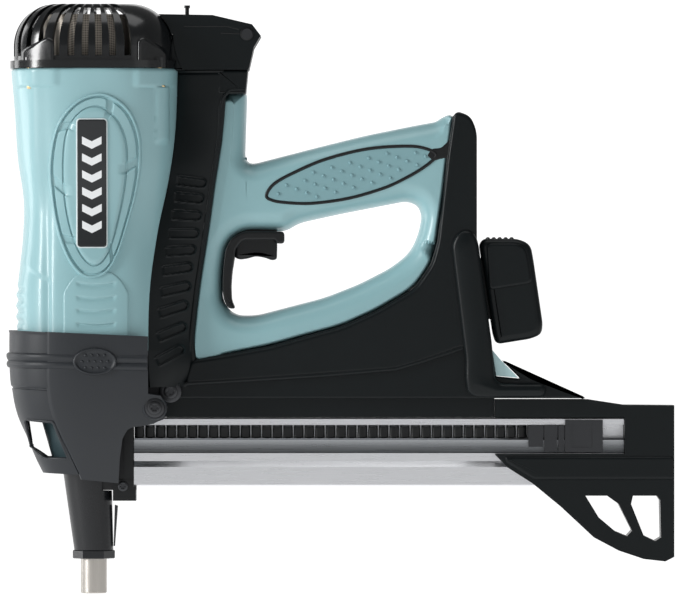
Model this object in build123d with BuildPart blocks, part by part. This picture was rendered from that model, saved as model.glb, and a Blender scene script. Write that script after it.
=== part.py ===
"""Gas-actuated strip nailer for concrete and steel: cylinder housing, looped handle, battery tail and magazine.

The origin is the centre of the muzzle's face. +Z runs up the drive axis, +X towards the magazine's tail,
and the tool's left side faces -Y. All sizes are in millimetres.
"""

import os

from build123d import *

os.makedirs("parts", exist_ok=True)

# Driving dimensions
wall = 2.5  # moulded shells
muzzle_radius = 8.65
muzzle_bore = 4.0
blade_radius = 2.75
collar_top = 28.4
cone_top = 84.0

arm_in = 8.9  # lower arms of the push lever, either side of the nose guide
arm_out = 33.0  # upper arms, either side of the cylinder
arm_thick = 2.2
arm_half = 4.0
flare_low = 108.0  # where the arms spread from one to the other

cylinder_bore = 24.0
cylinder_radius = 27.0
cylinder_low = 150.0
cylinder_top = 290.0
piston_low = 278.0
blade_low = 113.0
chamber_inner = 37.0
chamber_outer = 40.0
chamber_low = 236.0
chamber_top = 318.0
head_low = 325.0
head_top = 343.0

cap_base = 345.1
cap_top = 387.6
cap_length = 105.0
cap_width = 102.0
cap_centre = 0.3
louvres = 24
louvre_step = 10.0  # degrees
louvre_width = 4.3
screen_length = 66.0

can_radius = 14.0
can_bottom = (56.2, 244.0)
can_top = (65.0, 326.0)

door_pin_x = 101.1
door_pin_z = 367.8
door_half = 25.0
door_sweep = 48.3  # reach of the door below its pin, so that it swings clear of the cap

handle_half = 18.0
handle_round = 3.0
tail_half = 21.0
pad_thick = 2.0
trigger_half = 8.0

rail_half = 11.0
rail_low = 71.0
rail_top = 115.6
rail_start = 26.7
rail_end = 349.0
foot_half = 15.5

nail_pitch = 7.0
nail_count = 37
first_nail = 30.0
nail_top = 110.5
nail_length = 36.0

stand = (Align.CENTER, Align.CENTER, Align.MIN)
corner = (Align.MIN, Align.MIN, Align.MIN)


def save(builder, label):
    """Names a finished sub-part and writes it out."""
    builder.part.label = label
    export_step(builder.part, f"parts/{label}.step")


def bar(radius, z_low, z_high, x=0, y=0, mode=Mode.ADD):
    """A round bar along Z."""
    with Locations((x, y, z_low)):
        Cylinder(radius, z_high - z_low, align=stand, mode=mode)


def pin(radius, x, z, y_low, y_high, mode=Mode.ADD):
    """A round bar along Y."""
    with Locations(Location((x, y_high, z), (90, 0, 0))):
        Cylinder(radius, y_high - y_low, align=stand, mode=mode)


def block(x_low, x_high, y_low, y_high, z_low, z_high, mode=Mode.ADD):
    """A box between two opposite corners."""
    with Locations((x_low, y_low, z_low)):
        Box(x_high - x_low, y_high - y_low, z_high - z_low, align=corner, mode=mode)


def plate(points, y_low, y_high, mode=Mode.ADD):
    """A flat piece whose outline is given in X and Z, between two Y values."""
    with BuildSketch(Plane.XZ.offset(-y_high)) as outline:
        with BuildLine():
            Polyline(*points, close=True)
        make_face()
    extrude(outline.sketch, amount=y_high - y_low, mode=mode)


def plate_pair(points, y_in, y_out, mode=Mode.ADD):
    """The same flat piece on the left and on the right."""
    plate(points, -y_out, -y_in, mode)
    plate(points, y_in, y_out, mode)


def ring(radius, width, z_low, z_high, mode=Mode.ADD):
    """A round band about the drive axis."""
    with BuildSketch(Plane.XY.offset(z_low)) as band:
        Circle(radius)
        Circle(radius - width, mode=Mode.SUBTRACT)
    extrude(band.sketch, amount=z_high - z_low, mode=mode)


def coil_spring(x, z_low, z_high, radius, wire, turns):
    """A compression spring along Z."""
    height = z_high - z_low - 2 * wire
    with BuildPart() as spring:
        with BuildLine():
            path = Helix(pitch=height / turns, height=height, radius=radius, center=(x, 0, z_low + wire))
        with BuildSketch(Plane(origin=path @ 0, z_dir=path % 0)):
            Circle(wire)
        sweep()
    return spring


def shell_block(sections, inset=0.0, over=0.0):
    """Rounded rectangles lofted along Z: (z, x_low, x_high, y_half, corner), drawn in and run past the ends."""
    ends = {0: -over, len(sections) - 1: over}
    with BuildPart() as shape:
        for n, (z, x_low, x_high, y_half, radius) in enumerate(sections):
            with BuildSketch(Plane.XY.offset(z + ends.get(n, 0))):
                with Locations(((x_low + x_high) / 2, 0)):
                    RectangleRounded(x_high - x_low - 2 * inset, 2 * (y_half - inset), radius - inset)
        loft(ruled=True)
    return shape.part


def save_both(left_half, name):
    """Saves a left-hand piece and its mirror image on the right."""
    save(left_half, f"{name}_left")
    with BuildPart() as right_half:
        mirror(left_half.part, about=Plane.XZ)
    save(right_half, f"{name}_right")


def drawn_in(outline):
    """The inside of a moulded shell's outline."""
    with BuildSketch(Plane.XZ) as core:
        add(outline.sketch_local)
        offset(amount=-wall)
    return core.sketch


# Muzzle tube, the push lever that it carries, and the combustion chamber that the lever lifts
with BuildPart() as muzzle_tube:
    bar(muzzle_radius, 0, 46)
    chamfer(muzzle_tube.edges().group_by(Axis.Z)[0], 0.6)
    bar(muzzle_bore, 0, 46, mode=Mode.SUBTRACT)
save(muzzle_tube, "muzzle_tube")

arm_points = [
    (arm_in, 45), (arm_in + arm_thick, 45), (arm_in + arm_thick, flare_low), (arm_out + arm_thick, flare_low + 3),
    (arm_out + arm_thick, chamber_low), (arm_out, chamber_low), (arm_out, flare_low + 5.5), (arm_in, flare_low + 2.5),
]
with BuildPart() as push_lever:
    with BuildSketch(Plane.YZ.offset(-arm_half)):
        with BuildLine():
            Polyline(*arm_points, close=True)
        make_face()
    extrude(amount=2 * arm_half)
    mirror(about=Plane.XZ)
    bar(arm_in + arm_thick, 42, 45.5)
    bar(muzzle_radius + 0.02, 42, 46, mode=Mode.SUBTRACT)
save(push_lever, "push_lever")

with BuildPart() as combustion_chamber:
    bar(chamber_outer, chamber_low, chamber_top)
    bar(chamber_inner, chamber_low + 4, chamber_top, mode=Mode.SUBTRACT)
    bar(cylinder_radius + 0.3, chamber_low, chamber_low + 4, mode=Mode.SUBTRACT)
save(combustion_chamber, "combustion_chamber")

nose_spring = coil_spring(0, 185.2, chamber_low - 0.2, 29.6, 0.9, 5)
save(nose_spring, "nose_spring")

# Nose: faceted collar, cone, clip and the steel guide that the blade runs in
with BuildPart() as nose_collar:
    with BuildSketch(Plane.XY.offset(22.8)):
        RegularPolygon(13.9, 6)
    extrude(amount=collar_top - 22.8)
    chamfer(nose_collar.faces().filter_by(Axis.Z).edges(), 0.5)
    bar(muzzle_radius + 0.15, 20, 30, mode=Mode.SUBTRACT)
save(nose_collar, "nose_collar")

with BuildPart() as nose_cone:
    with BuildSketch(Plane.XY.offset(collar_top + 0.1)):
        Circle(12.9)
    with BuildSketch(Plane.XY.offset(cone_top)):
        with Locations((-4.6, 0)):
            Ellipse(16.2, 15.6)
    loft()
    bar(muzzle_radius + 0.15, collar_top, 42, mode=Mode.SUBTRACT)
    bar(arm_in + arm_thick + 0.3, 41.6, 67.6, mode=Mode.SUBTRACT)
    block(-arm_half - 0.3, arm_half + 0.3, -11.4, 11.4, 41.6, 67.6, mode=Mode.SUBTRACT)
    block(-10.3, 20, -12, 12, 67.5, cone_top + 1, mode=Mode.SUBTRACT)
save(nose_cone, "nose_cone")

with BuildPart() as retainer_clip:
    plate([(13.1, 31), (14, 31), (15.9, 57.5), (13.9, 58.2)], -4, 4)
save(retainer_clip, "retainer_clip")

bolt_x = 51.0
bolt_z = 133.0
with BuildPart() as nose_guide:
    block(-10, 26, -8, 8, 68, 138)
    fillet(nose_guide.edges().filter_by(Axis.Z).group_by(Axis.X)[0], 3)
    block(26, bolt_x + 6, -6, 6, 129.2, 137.8)
    bar(muzzle_bore, 68, 138, mode=Mode.SUBTRACT)
    block(0, 26, -3.7, 3.7, 101, 114.5, mode=Mode.SUBTRACT)
    block(0, 26, -2.2, 2.2, 68, 102, mode=Mode.SUBTRACT)
    pin(3.1, bolt_x, bolt_z, -7, 7, mode=Mode.SUBTRACT)
save(nose_guide, "nose_guide")

# Cylinder, piston with its driver blade, and the head with the fan, motor and spark plug
with BuildPart() as cylinder_base:
    bar(30, 138, cylinder_low)
    bar(muzzle_bore, 138, cylinder_low, mode=Mode.SUBTRACT)
save(cylinder_base, "cylinder_base")

with BuildPart() as cylinder:
    bar(cylinder_radius, cylinder_low, cylinder_top)
    for fin in range(5):
        bar(31, 156 + 6.5 * fin, 158.2 + 6.5 * fin)
    bar(cylinder_bore, cylinder_low, cylinder_top, mode=Mode.SUBTRACT)
save(cylinder, "cylinder")

with BuildPart() as bumper:
    bar(cylinder_bore - 0.4, cylinder_low + 0.1, 185)
    chamfer(bumper.edges().group_by(Axis.Z)[-1], 3)
    bar(muzzle_bore, cylinder_low, 186, mode=Mode.SUBTRACT)
save(bumper, "bumper")

ring_grooves = (piston_low + 2, piston_low + 6.5)
with BuildPart() as piston:
    bar(cylinder_bore - 0.15, piston_low, piston_low + 11)
    for groove in ring_grooves:
        ring(cylinder_bore, 2, groove, groove + 2, mode=Mode.SUBTRACT)
save(piston, "piston")

with BuildPart() as piston_rings:
    for groove in ring_grooves:
        ring(cylinder_bore - 0.03, 1.87, groove + 0.1, groove + 1.9)
save(piston_rings, "piston_rings")

with BuildPart() as driver_blade:
    bar(blade_radius, blade_low, piston_low)
save(driver_blade, "driver_blade")

with BuildPart() as cylinder_head:
    bar(chamber_inner - 0.4, head_low, head_top)
    bar(12, head_low, head_top, mode=Mode.SUBTRACT)
    bar(5, head_low, head_top, x=-24, mode=Mode.SUBTRACT)
save(cylinder_head, "cylinder_head")

with BuildPart() as fan_motor:
    bar(15.5, head_top + 0.2, 371)
    bar(11.8, 330, head_top + 0.2)
    bar(5, 371, 374)
    bar(1.55, 330, 336, mode=Mode.SUBTRACT)
save(fan_motor, "fan_motor")

with BuildPart() as fan_shaft:
    bar(1.5, 299, 335.8)
save(fan_shaft, "fan_shaft")

with BuildPart() as fan_wheel:
    bar(5.5, 299, 309)
    with BuildSketch(Plane.XY.offset(303)):
        with PolarLocations(12, 5):
            Rectangle(18, 8)
    extrude(amount=1.6)
    bar(1.51, 299, 309, mode=Mode.SUBTRACT)
save(fan_wheel, "fan_wheel")

with BuildPart() as spark_plug:
    bar(4.9, 320, 352, x=-24)
    bar(3.2, 352, 362, x=-24)
    bar(1.2, 312, 320, x=-24)
save(spark_plug, "spark_plug")

# Front housing, meeting the rear covers along a line that leans with the barrel
housing_sections = [
    (160, -50.2, 54.0, 49.0, 34), (200, -50.2, 52.0, 48.0, 32), (233, -46.9, 50.0, 46.5, 32),
    (257, -46.0, 51.5, 46.5, 32), (285, -49.8, 55.0, 49.5, 32), (320, -52.2, 56.5, 52.5, 32),
    (344.8, -54.4, 57.0, 54.0, 34),
]
parting_line = [(55.6, 346), (53.5, 297), (49.6, 271.2), (43, 239.5), (37.7, 200), (36.7, 170), (36.7, 158)]
cap_screw_spots = [(-40.5, -37), (-40.5, 37), (43.6, -38), (43.6, 38)]

housing_solid = shell_block(housing_sections)
housing_inside = shell_block(housing_sections, wall, 1)
with BuildPart() as front_housing:
    add(housing_solid)
    add(housing_inside, mode=Mode.SUBTRACT)
    plate(parting_line + [(80, 158), (80, 346)], -60, 60, mode=Mode.SUBTRACT)
    block(30, 80, -28, 28, 158, 346, mode=Mode.SUBTRACT)
    for x, y in cap_screw_spots:
        bar(6.3, 334, 344.8, x, y)
        bar(2.6, 334, 344.8, x, y, mode=Mode.SUBTRACT)
save(front_housing, "front_housing")


def crown(grow):
    """The cap's rounded crown as a full block, grown or drawn in all round."""
    with BuildPart() as shape:
        with BuildSketch(Plane.XY.offset(cap_base)):
            with Locations((cap_centre, 0)):
                RectangleRounded(cap_length + 2 * grow, cap_width + 2 * grow, 34 + grow)
        extrude(amount=cap_top + grow - cap_base)
        fillet(shape.edges().group_by(Axis.Z)[-1], 28 + grow)
    return shape.part


crown_solid = crown(0)
crown_inside = crown(-wall)
crown_clear = crown(0.8)
louvre_start = 180 - louvre_step * (louvres - 1) / 2
with BuildPart() as head_cap:
    add(crown_solid)
    with BuildSketch(Plane.XY.offset(cap_base)):
        with Locations((cap_centre + 0.2, 0)):
            RectangleRounded(110, 108, 36)
    extrude(amount=5)
    add(crown_inside, mode=Mode.SUBTRACT)
    with BuildSketch(Plane.XY.offset(353)):
        with PolarLocations(50, louvres, louvre_start, louvre_step * (louvres - 1), endpoint=True):
            Rectangle(46, louvre_width)
    extrude(amount=40, mode=Mode.SUBTRACT)
    for x, y in cap_screw_spots:
        bar(5.4, cap_base, 352, x, y)
        bar(3.2, cap_base, 353, x, y, mode=Mode.SUBTRACT)
save(head_cap, "head_cap")

with BuildPart() as cap_screws:
    for x, y in cap_screw_spots:
        bar(2.4, 335, 349, x, y)
        bar(3.1, 349, 352, x, y)
save(cap_screws, "cap_screws")

with BuildPart() as filter_screen:
    with BuildSketch(Plane.XY.offset(cap_base + 0.4)):
        RectangleRounded(screen_length, screen_length, 26)
        RectangleRounded(screen_length - 2, screen_length - 2, 25, mode=Mode.SUBTRACT)
    extrude(amount=35)
save(filter_screen, "filter_screen")

# Ribbed rear covers, tapering from the barrel to the handle's front: (z, x_front, x_rear, y_front, y_rear)
cover_sections = [
    (141, 38.0, 62.6, 38, 19), (171, 37.0, 63.9, 43, 20), (200, 38.0, 67.1, 42, 20), (240, 43.4, 73.3, 35, 21),
    (271, 50.0, 77.6, 31, 21.5), (300, 54.0, 82.1, 30, 22), (322, 56.0, 84.0, 29, 23), (343.7, 56.5, 84.5, 29, 24),
]
fin_slots = 10


def cover_block(inset, over):
    """The covers as one full block; with an inset it is drawn in and open at the front and both ends."""
    ends = {0: -over, len(cover_sections) - 1: over}
    with BuildPart() as shape:
        for n, (z, x_front, x_rear, y_front, y_rear) in enumerate(cover_sections):
            front = x_front - 3 * inset
            rear = x_rear - inset
            side_front = y_front - inset
            side_rear = y_rear - inset
            with BuildSketch(Plane.XY.offset(z + ends.get(n, 0))):
                with BuildLine():
                    Polyline((front, -side_front), (rear, -side_rear), (rear, side_rear), (front, side_front),
                             close=True)
                make_face()
        loft(ruled=True)
    return shape.part


cover_solid = cover_block(0, 0)
cover_inside = cover_block(wall, 1)
with BuildPart() as rear_cover:
    add(cover_solid)
    block(80, 100.3, -24, 24, 331.8, 343.7)
    add(cover_inside, mode=Mode.SUBTRACT)
    block(70, 97.8, -21.5, 21.5, 334, 344, mode=Mode.SUBTRACT)
    bar(42, 140, 344, mode=Mode.SUBTRACT)
    for n in range(fin_slots):
        with Locations(Location((65.5 - 1.7 * n, 0, 274 - 13.1 * n), (0, 8 - 3.6 * n, 0))):
            Box(14, 100, 4.4, mode=Mode.SUBTRACT)
    plate([(97.8, 335), (97.8, 372.3), (104.2, 372.3), (104.6, 365), (100.3, 331.8)], -6, 6)
    pin(2.25, door_pin_x, door_pin_z, -7, 7, mode=Mode.SUBTRACT)
    plate([(55.6, 139), (55.6, 140.2), (61.2, 148.3), (64.1, 151.7), (70, 151.7), (70, 139)], -24, 24,
          mode=Mode.SUBTRACT)
    split(bisect_by=Plane.XZ, keep=Keep.TOP)
save_both(rear_cover, "rear_cover")

can_foot = Vector(can_bottom[0], 0, can_bottom[1])
can_head = Vector(can_top[0], 0, can_top[1])
can_axis = (can_head - can_foot).normalized()
with BuildPart() as fuel_cell:
    with BuildSketch(Plane(origin=can_foot, z_dir=can_axis)):
        Circle(can_radius)
    extrude(amount=(can_head - can_foot).length)
    fillet(fuel_cell.edges().filter_by(GeomType.CIRCLE), 2)
save(fuel_cell, "fuel_cell")

with BuildPart() as fuel_valve:
    with BuildSketch(Plane(origin=can_head, z_dir=can_axis)):
        Circle(7.5)
    extrude(amount=6)
    with BuildSketch(Plane(origin=can_head + can_axis * 6, z_dir=can_axis)):
        Circle(2.8)
    extrude(amount=6)
save(fuel_valve, "fuel_valve")

# Door over the fuel cell, hinged at the rear on a pin through the cover's ear
door_outline = [
    (36.4, 380.9), (78.4, 380.2), (104.5, 374.1), (110.2, 366.7), (105.6, 358.8), (102.3, 344.2), (56.8, 344.2),
    (50, 366),
]
door_inside = [
    (38, 378.4), (78.2, 377.7), (102, 372.2), (107, 366.4), (103, 359.5), (99.6, 341), (50, 341), (38, 360),
]
with BuildPart() as fuel_door:
    plate(door_outline, -door_half, door_half)
    plate(door_inside, wall - door_half, door_half - wall, mode=Mode.SUBTRACT)
    add(crown_clear, mode=Mode.SUBTRACT)
    with BuildSketch(Plane.XZ.offset(-door_half)) as sweep_clear:
        with Locations((door_pin_x, door_pin_z)):
            Rectangle(160, 60, align=(Align.CENTER, Align.MAX))
            Circle(door_sweep, mode=Mode.SUBTRACT)
    extrude(sweep_clear.sketch, amount=2 * door_half, mode=Mode.SUBTRACT)
    block(90, 115, -6.6, 6.6, 340, 373.7, mode=Mode.SUBTRACT)
    for y in (-door_half, door_half - 6):
        pin(5.2, door_pin_x, door_pin_z, y, y + 6)
    pin(2.25, door_pin_x, door_pin_z, -door_half, door_half, mode=Mode.SUBTRACT)
save(fuel_door, "fuel_door")

with BuildPart() as door_knob:
    bar(1.3, 380.6, 385.4, x=61.5)
    bar(1.9, 385.4, 387.2, x=61.5)
save(door_knob, "door_knob")

with BuildPart() as door_hinge_pin:
    pin(2.2, door_pin_x, door_pin_z, -door_half - 0.3, door_half + 0.3)
    for y in (-door_half - 1.5, door_half + 0.3):
        pin(3.4, door_pin_x, door_pin_z, y, y + 1.2)
save(door_hinge_pin, "door_hinge_pin")

# Handle: a closed loop, hollow, in two shells, with a liner and a trigger in the loop's front corner
with BuildSketch(Plane.XZ) as handle_outline:
    with BuildLine():
        front = Polyline((64.4, 152), (64.4, 170.3), (67.6, 200), (73.8, 240), (82.6, 300.3), (86.5, 328.1),
                         (100.5, 328.1), (98.9, 282.1), (227, 311), (236.2, 314.5), (232.5, 287), (226, 230))
        ThreePointArc(front @ 1, (218, 208.5), (200, 193.5))
        ThreePointArc((200, 193.5), (138, 168.8), front @ 0)
    make_face()
    with BuildLine():
        mouth = Polyline((88.2, 188), (84.7, 195), (85.6, 216), (89, 231), (99, 238.4), (127, 238.4),
                         (135, 244.4), (205.8, 258.1), (216.2, 250), (215, 241))
        ThreePointArc(mouth @ 1, (209.3, 226), (196, 214.3))
        ThreePointArc((196, 214.3), (152, 194.5), (107, 182.8))
        Line((107, 182.8), mouth @ 0)
    make_face(mode=Mode.SUBTRACT)
handle_core = drawn_in(handle_outline)
with BuildPart() as handle_half_shell:
    extrude(handle_outline.sketch, amount=handle_half)
    fillet(handle_half_shell.faces().sort_by(Axis.Y)[0].edges(), handle_round)
    extrude(handle_core, amount=handle_half - wall, mode=Mode.SUBTRACT)
    block(91.6, 121.5, -trigger_half - 0.8, 1, 231, 243, mode=Mode.SUBTRACT)
save_both(handle_half_shell, "handle")

with BuildPart() as handle_liner:
    plate([(125.2, 238.1), (99.2, 238.1), (89.4, 230.8), (86, 216), (85.1, 195.4), (88.9, 188.6), (93.3, 188.9),
           (90.6, 199), (90.9, 209.7), (92, 219), (92, 230.6), (125.2, 230.6)], -16, 16)
    block(91.9, 121.3, -trigger_half - 0.4, trigger_half + 0.4, 218, 239, mode=Mode.SUBTRACT)
save(handle_liner, "handle_liner")

trigger_outline = [
    (92.3, 226), (92.4, 221.3), (96, 219.8), (106.6, 221.6), (118, 219.2), (120.9, 219.7), (120.9, 248), (112, 252),
    (96, 252), (92.3, 248),
]
with BuildPart() as trigger:
    plate(trigger_outline, -trigger_half, trigger_half)
save(trigger, "trigger")

trigger_spring = coil_spring(106, 252.2, 265.8, 4, 0.5, 5)
save(trigger_spring, "trigger_spring")

with BuildPart() as trigger_switch:
    block(98, 114, -7, 7, 266, 276)
save(trigger_switch, "trigger_switch")

pad_outline = [
    (113.5, 261.7), (122, 270.5), (135.3, 277), (163.5, 288.7), (192.9, 293.4), (212, 294), (222, 293), (226, 288),
    (221, 284), (210.6, 278.2), (187, 267.6), (163.5, 260.5), (139.9, 257), (122.3, 257.5),
]
with BuildPart() as grip_pad:
    plate(pad_outline, -handle_half - pad_thick, -handle_half)
save_both(grip_pad, "grip_pad")

# Tail: a column behind the handle and a frame under it, hollow, in two shells, with guards, grille and battery
tail_cut = [(261.8, 161.4), (264.4, 142.9), (281.2, 141.2), (268.7, 153.6)]
with BuildSketch(Plane.XZ) as tail_outline:
    with BuildLine():
        back = Polyline((64.4, 151.4), (61.5, 148), (56, 140.4), (46, 140.4), (43.2, 136), (43.2, 128.9),
                        (324.4, 128.9), (310.2, 133.6), (288, 142.2), (276.5, 150.4), (266.6, 163.2),
                        (263.5, 163.6), (253.3, 229), (252.2, 231.5), (252.2, 304.1), (248, 314), (240, 316.8),
                        (236.9, 315.2), (233, 287), (226.5, 230))
        ThreePointArc(back @ 1, (218.4, 208.1), (200.3, 193.1))
        ThreePointArc((200.3, 193.1), (138.2, 168.3), back @ 0)
    make_face()
tail_core = drawn_in(tail_outline)
with BuildPart() as tail_shell:
    extrude(tail_outline.sketch, amount=tail_half)
    extrude(tail_core, amount=tail_half - wall, mode=Mode.SUBTRACT)
    plate(tail_cut, -tail_half, 0, mode=Mode.SUBTRACT)
    plate([(235, 222), (256, 225.2), (264.2, 178.5), (243, 175)], -14.5, 0, mode=Mode.SUBTRACT)
    block(40, 58, -6.3, 0, 128, 138.2, mode=Mode.SUBTRACT)
    pin(3.1, bolt_x, bolt_z, -tail_half, 0, mode=Mode.SUBTRACT)
save_both(tail_shell, "tail_housing")

guard_outline = [
    (235.2, 229), (240, 237.3), (245.7, 239.3), (251, 236.8), (253.2, 229.5), (262, 164.5), (264.2, 141), (268, 138.2),
    (297.3, 138.2), (297.3, 129.2), (252, 129.2), (246, 132), (244.3, 140), (244.5, 154),
]
with BuildPart() as tail_guard:
    plate(guard_outline, -tail_half - 4.2, -tail_half - 0.2)
save_both(tail_guard, "tail_guard")

with BuildPart() as tail_grille:
    plate([(262.3, 160.2), (264.8, 143.3), (279.4, 142), (268.5, 153)], -tail_half + 1, tail_half - 1)
save(tail_grille, "tail_grille")

latch_half = 8.0
with BuildPart() as battery:
    plate([(253.9, 229.7), (256.5, 233.2), (279.5, 233.2), (283.3, 232), (287.9, 226.7), (295.5, 176.3),
           (294.9, 171.6), (287.9, 167.5), (265.1, 164), (263.3, 170.4)], -tail_half, tail_half)
    fillet(battery.faces().filter_by(Axis.Y).edges(), 1.5)
    plate([(256, 221), (240.8, 218.7), (247.2, 178.4), (262.6, 180.8)], -14, 14)
    block(257.2, 277.4, -latch_half - 0.4, latch_half + 0.4, 226.2, 234, mode=Mode.SUBTRACT)
save(battery, "battery")

with BuildPart() as battery_latch:
    block(257.6, 277, -latch_half, latch_half, 229, 233)
    for n in range(5):
        pin(1.5, 259.6 + 3.9 * n, 233, -latch_half, latch_half)
save(battery_latch, "battery_latch")

with BuildPart() as battery_contacts:
    plate([(235.6, 214), (239.3, 214.6), (244.7, 181.2), (241, 180.6)], -10, 10)
save(battery_contacts, "battery_contacts")

with BuildPart() as circuit_board:
    block(239, 240.6, -15, 15, 238, 300)
save(circuit_board, "circuit_board")

# Skirt round the barrel's foot: a front piece and two side pieces, held by a band, screws and the main bolt
skirt_sections = [
    (70, -27.5, 78, 23, 16), (104, -44.5, 78, 42.5, 26), (116.4, -50.2, 78, 46.5, 30), (138.3, -54.7, 78, 50.5, 33),
    (174.3, -55.4, 78, 52.5, 36),
]
crease = [(-4.1, 74), (-15.4, 92.5), (-25.5, 113.5), (-28.8, 126.2), (-30.5, 143), (-30.3, 176)]
skirt_rear = [
    (36.8, 176), (36.8, 131.4), (44.5, 131.4), (49.5, 122.8), (46.9, 115.1), (40.4, 112.6), (26.3, 110),
    (19.9, 102.3), (18, 89.4), (16.5, 60), (90, 60), (90, 176),
]
skirt_below = [(-60, 84.5), (-31.6, 80.4), (16.5, 73.4), (90, 62), (90, 50), (-60, 50)]
skirt_solid = shell_block(skirt_sections)
skirt_inside = shell_block(skirt_sections, wall, 1)
skirt_grown = shell_block(skirt_sections, -0.15, 0)
screw_x = 41.1
screw_z = 122.6
screw_face = 49.0
with BuildPart() as skirt_shell:
    add(skirt_solid)
    add(skirt_inside, mode=Mode.SUBTRACT)
    plate(skirt_rear, -60, 60, mode=Mode.SUBTRACT)
    plate(skirt_below, -60, 60, mode=Mode.SUBTRACT)

with BuildPart() as skirt_front:
    add(skirt_shell.part)
    plate(crease + [(30, 176), (30, 60)], -60, 60, mode=Mode.SUBTRACT)
    block(30, 60, -60, 60, 60, 180, mode=Mode.SUBTRACT)
    plate([(-43.5, 114.5), (-29, 113), (-20, 92), (-36, 94)], -60, 60, mode=Mode.SUBTRACT)
save(skirt_front, "skirt_front")

with BuildPart() as skirt_sides:
    add(skirt_shell.part)
    plate(crease + [(-70, 176), (-70, 60)], -60, 60, mode=Mode.SUBTRACT)
    for y in (-screw_face, screw_face - 5):
        pin(8.2, screw_x, screw_z, y, y + 5)
    pin(2.6, screw_x, screw_z, -60, 60, mode=Mode.SUBTRACT)
    split(bisect_by=Plane.XZ, keep=Keep.TOP)
save_both(skirt_sides, "skirt_side")

band_sections = [(149, -57.6, 78, 54, 38), (160.2, -58.6, 78, 54, 38)]
band_block = shell_block(band_sections)
with BuildPart() as skirt_band:
    add(band_block)
    with BuildSketch(Plane.XZ.offset(-55.2)) as oval:
        with Locations((2.1, 153.5)):
            Ellipse(14.5, 8.8)
    extrude(oval.sketch, amount=110.4)
    add(skirt_grown, mode=Mode.SUBTRACT)
    block(36.4, 90, -60, 60, 140, 170, mode=Mode.SUBTRACT)
save(skirt_band, "skirt_band")

with BuildPart() as skirt_screws:
    for face, head in ((-screw_face, -1), (screw_face, 1)):
        low, high = sorted((face, face + 2.2 * head))
        pin(6, screw_x, screw_z, low, high)
        low, high = sorted((face, face - 4.8 * head))
        pin(2.55, screw_x, screw_z, low, high)
save(skirt_screws, "skirt_screws")

bolt_head = 3.6
with BuildPart() as main_bolt:
    pin(3, bolt_x, bolt_z, -tail_half, tail_half)
    pin(6, bolt_x, bolt_z, -tail_half - bolt_head, -tail_half)
    pin(6, bolt_x, bolt_z, tail_half, tail_half + bolt_head)
    with BuildSketch(Plane.XZ.offset(tail_half + bolt_head)) as socket:
        with Locations((bolt_x, bolt_z)):
            RegularPolygon(3.2, 6)
    extrude(socket.sketch, amount=-2.4, mode=Mode.SUBTRACT)
save(main_bolt, "main_bolt")

# Magazine: extruded rail with nails, feeder, cover strip, front bracket and the tail with its foot
with BuildPart() as magazine_rail:
    with BuildSketch(Plane.YZ.offset(rail_start)):
        with BuildLine():
            Polyline((-rail_half, rail_low), (rail_half, rail_low), (rail_half, rail_top), (-rail_half, rail_top),
                     close=True)
        make_face()
        for y, z, width, height in (
            (0, 107.4, 7.4, 12.6), (0, 87.4, 5, 28), (6.9, 86, 3, 24), (-6.9, 86, 3, 24),
            (-7.5, 106.4, 8, 9), (-rail_half, 97, 2.4, 9.8), (rail_half, 97, 2.4, 9.8),
        ):
            with Locations((y, z)):
                Rectangle(width, height, mode=Mode.SUBTRACT)
    extrude(amount=rail_end - rail_start)
save(magazine_rail, "magazine_rail")

strip_end = first_nail + nail_pitch * (nail_count - 1)
with BuildPart() as nail_strip:
    for n in range(nail_count):
        x = first_nail + nail_pitch * n
        bar(1.5, nail_top - nail_length, nail_top - 1.4, x)
        bar(3.1, nail_top - 1.5, nail_top, x)
    block(first_nail - 1, strip_end + 1, -2, 2, 95, 98.5)
save(nail_strip, "nail_strip")

feeder_start = strip_end + 3.5
with BuildPart() as feeder:
    block(feeder_start, feeder_start + 48, -3.3, 3.3, 102.6, 110.2)
    block(feeder_start, feeder_start + 20, -2.1, 2.1, 76, 103)
    block(feeder_start, feeder_start + 48, -12, -3, 102.6, 110.2)
    block(286.2, 295.8, -13.2, -11.3, 96.5, 110.6)
    block(296.6, 305, -14, -11.3, 93.6, 110.8)
    block(305.9, 309.6, -14.6, -11.3, 93.6, 110.8)
    block(310.2, 335, -15, -11.3, 93, 114.2)
    block(314.4, 328, -16, -14.2, 96.2, 111, mode=Mode.SUBTRACT)
save(feeder, "feeder")

with BuildPart() as rail_cover:
    block(48, 263.8, -12, 12, rail_top + 0.3, 128.4)
    block(50, 262, -9.5, 9.5, rail_top, 126, mode=Mode.SUBTRACT)
save(rail_cover, "rail_cover")

tail_profile = [
    (264.2, 127.8), (264.2, 91.4), (272.3, 83), (288.7, 72.6), (307.3, 57.3), (329.1, 37), (345.5, 28.3),
    (361.9, 22.8), (376.1, 21.2), (382, 24.2), (382, 123.9), (348.7, 124.2), (325, 127.8),
]
foot_holes = [
    [(323.6, 64.4), (337.8, 64.4), (345.5, 58.9), (354.2, 41.4), (350.9, 37.8), (343.3, 40.9), (332.3, 50.2)],
    [(354.8, 64.4), (370.6, 64.4), (372.8, 61.1), (373.3, 37), (369.5, 34.6), (361.9, 38.2), (353.6, 58.9)],
]
with BuildPart() as magazine_tail:
    plate(tail_profile, -foot_half, foot_half)
    for hole in foot_holes:
        plate(hole, -foot_half, foot_half, mode=Mode.SUBTRACT)
    block(263, rail_end + 0.4, -rail_half - 0.2, rail_half + 0.2, rail_low - 0.3, rail_top + 0.2, mode=Mode.SUBTRACT)
    block(263, rail_end + 0.4, -foot_half - 1, -rail_half, 91.9, rail_top + 0.2, mode=Mode.SUBTRACT)
save(magazine_tail, "magazine_tail")

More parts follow.
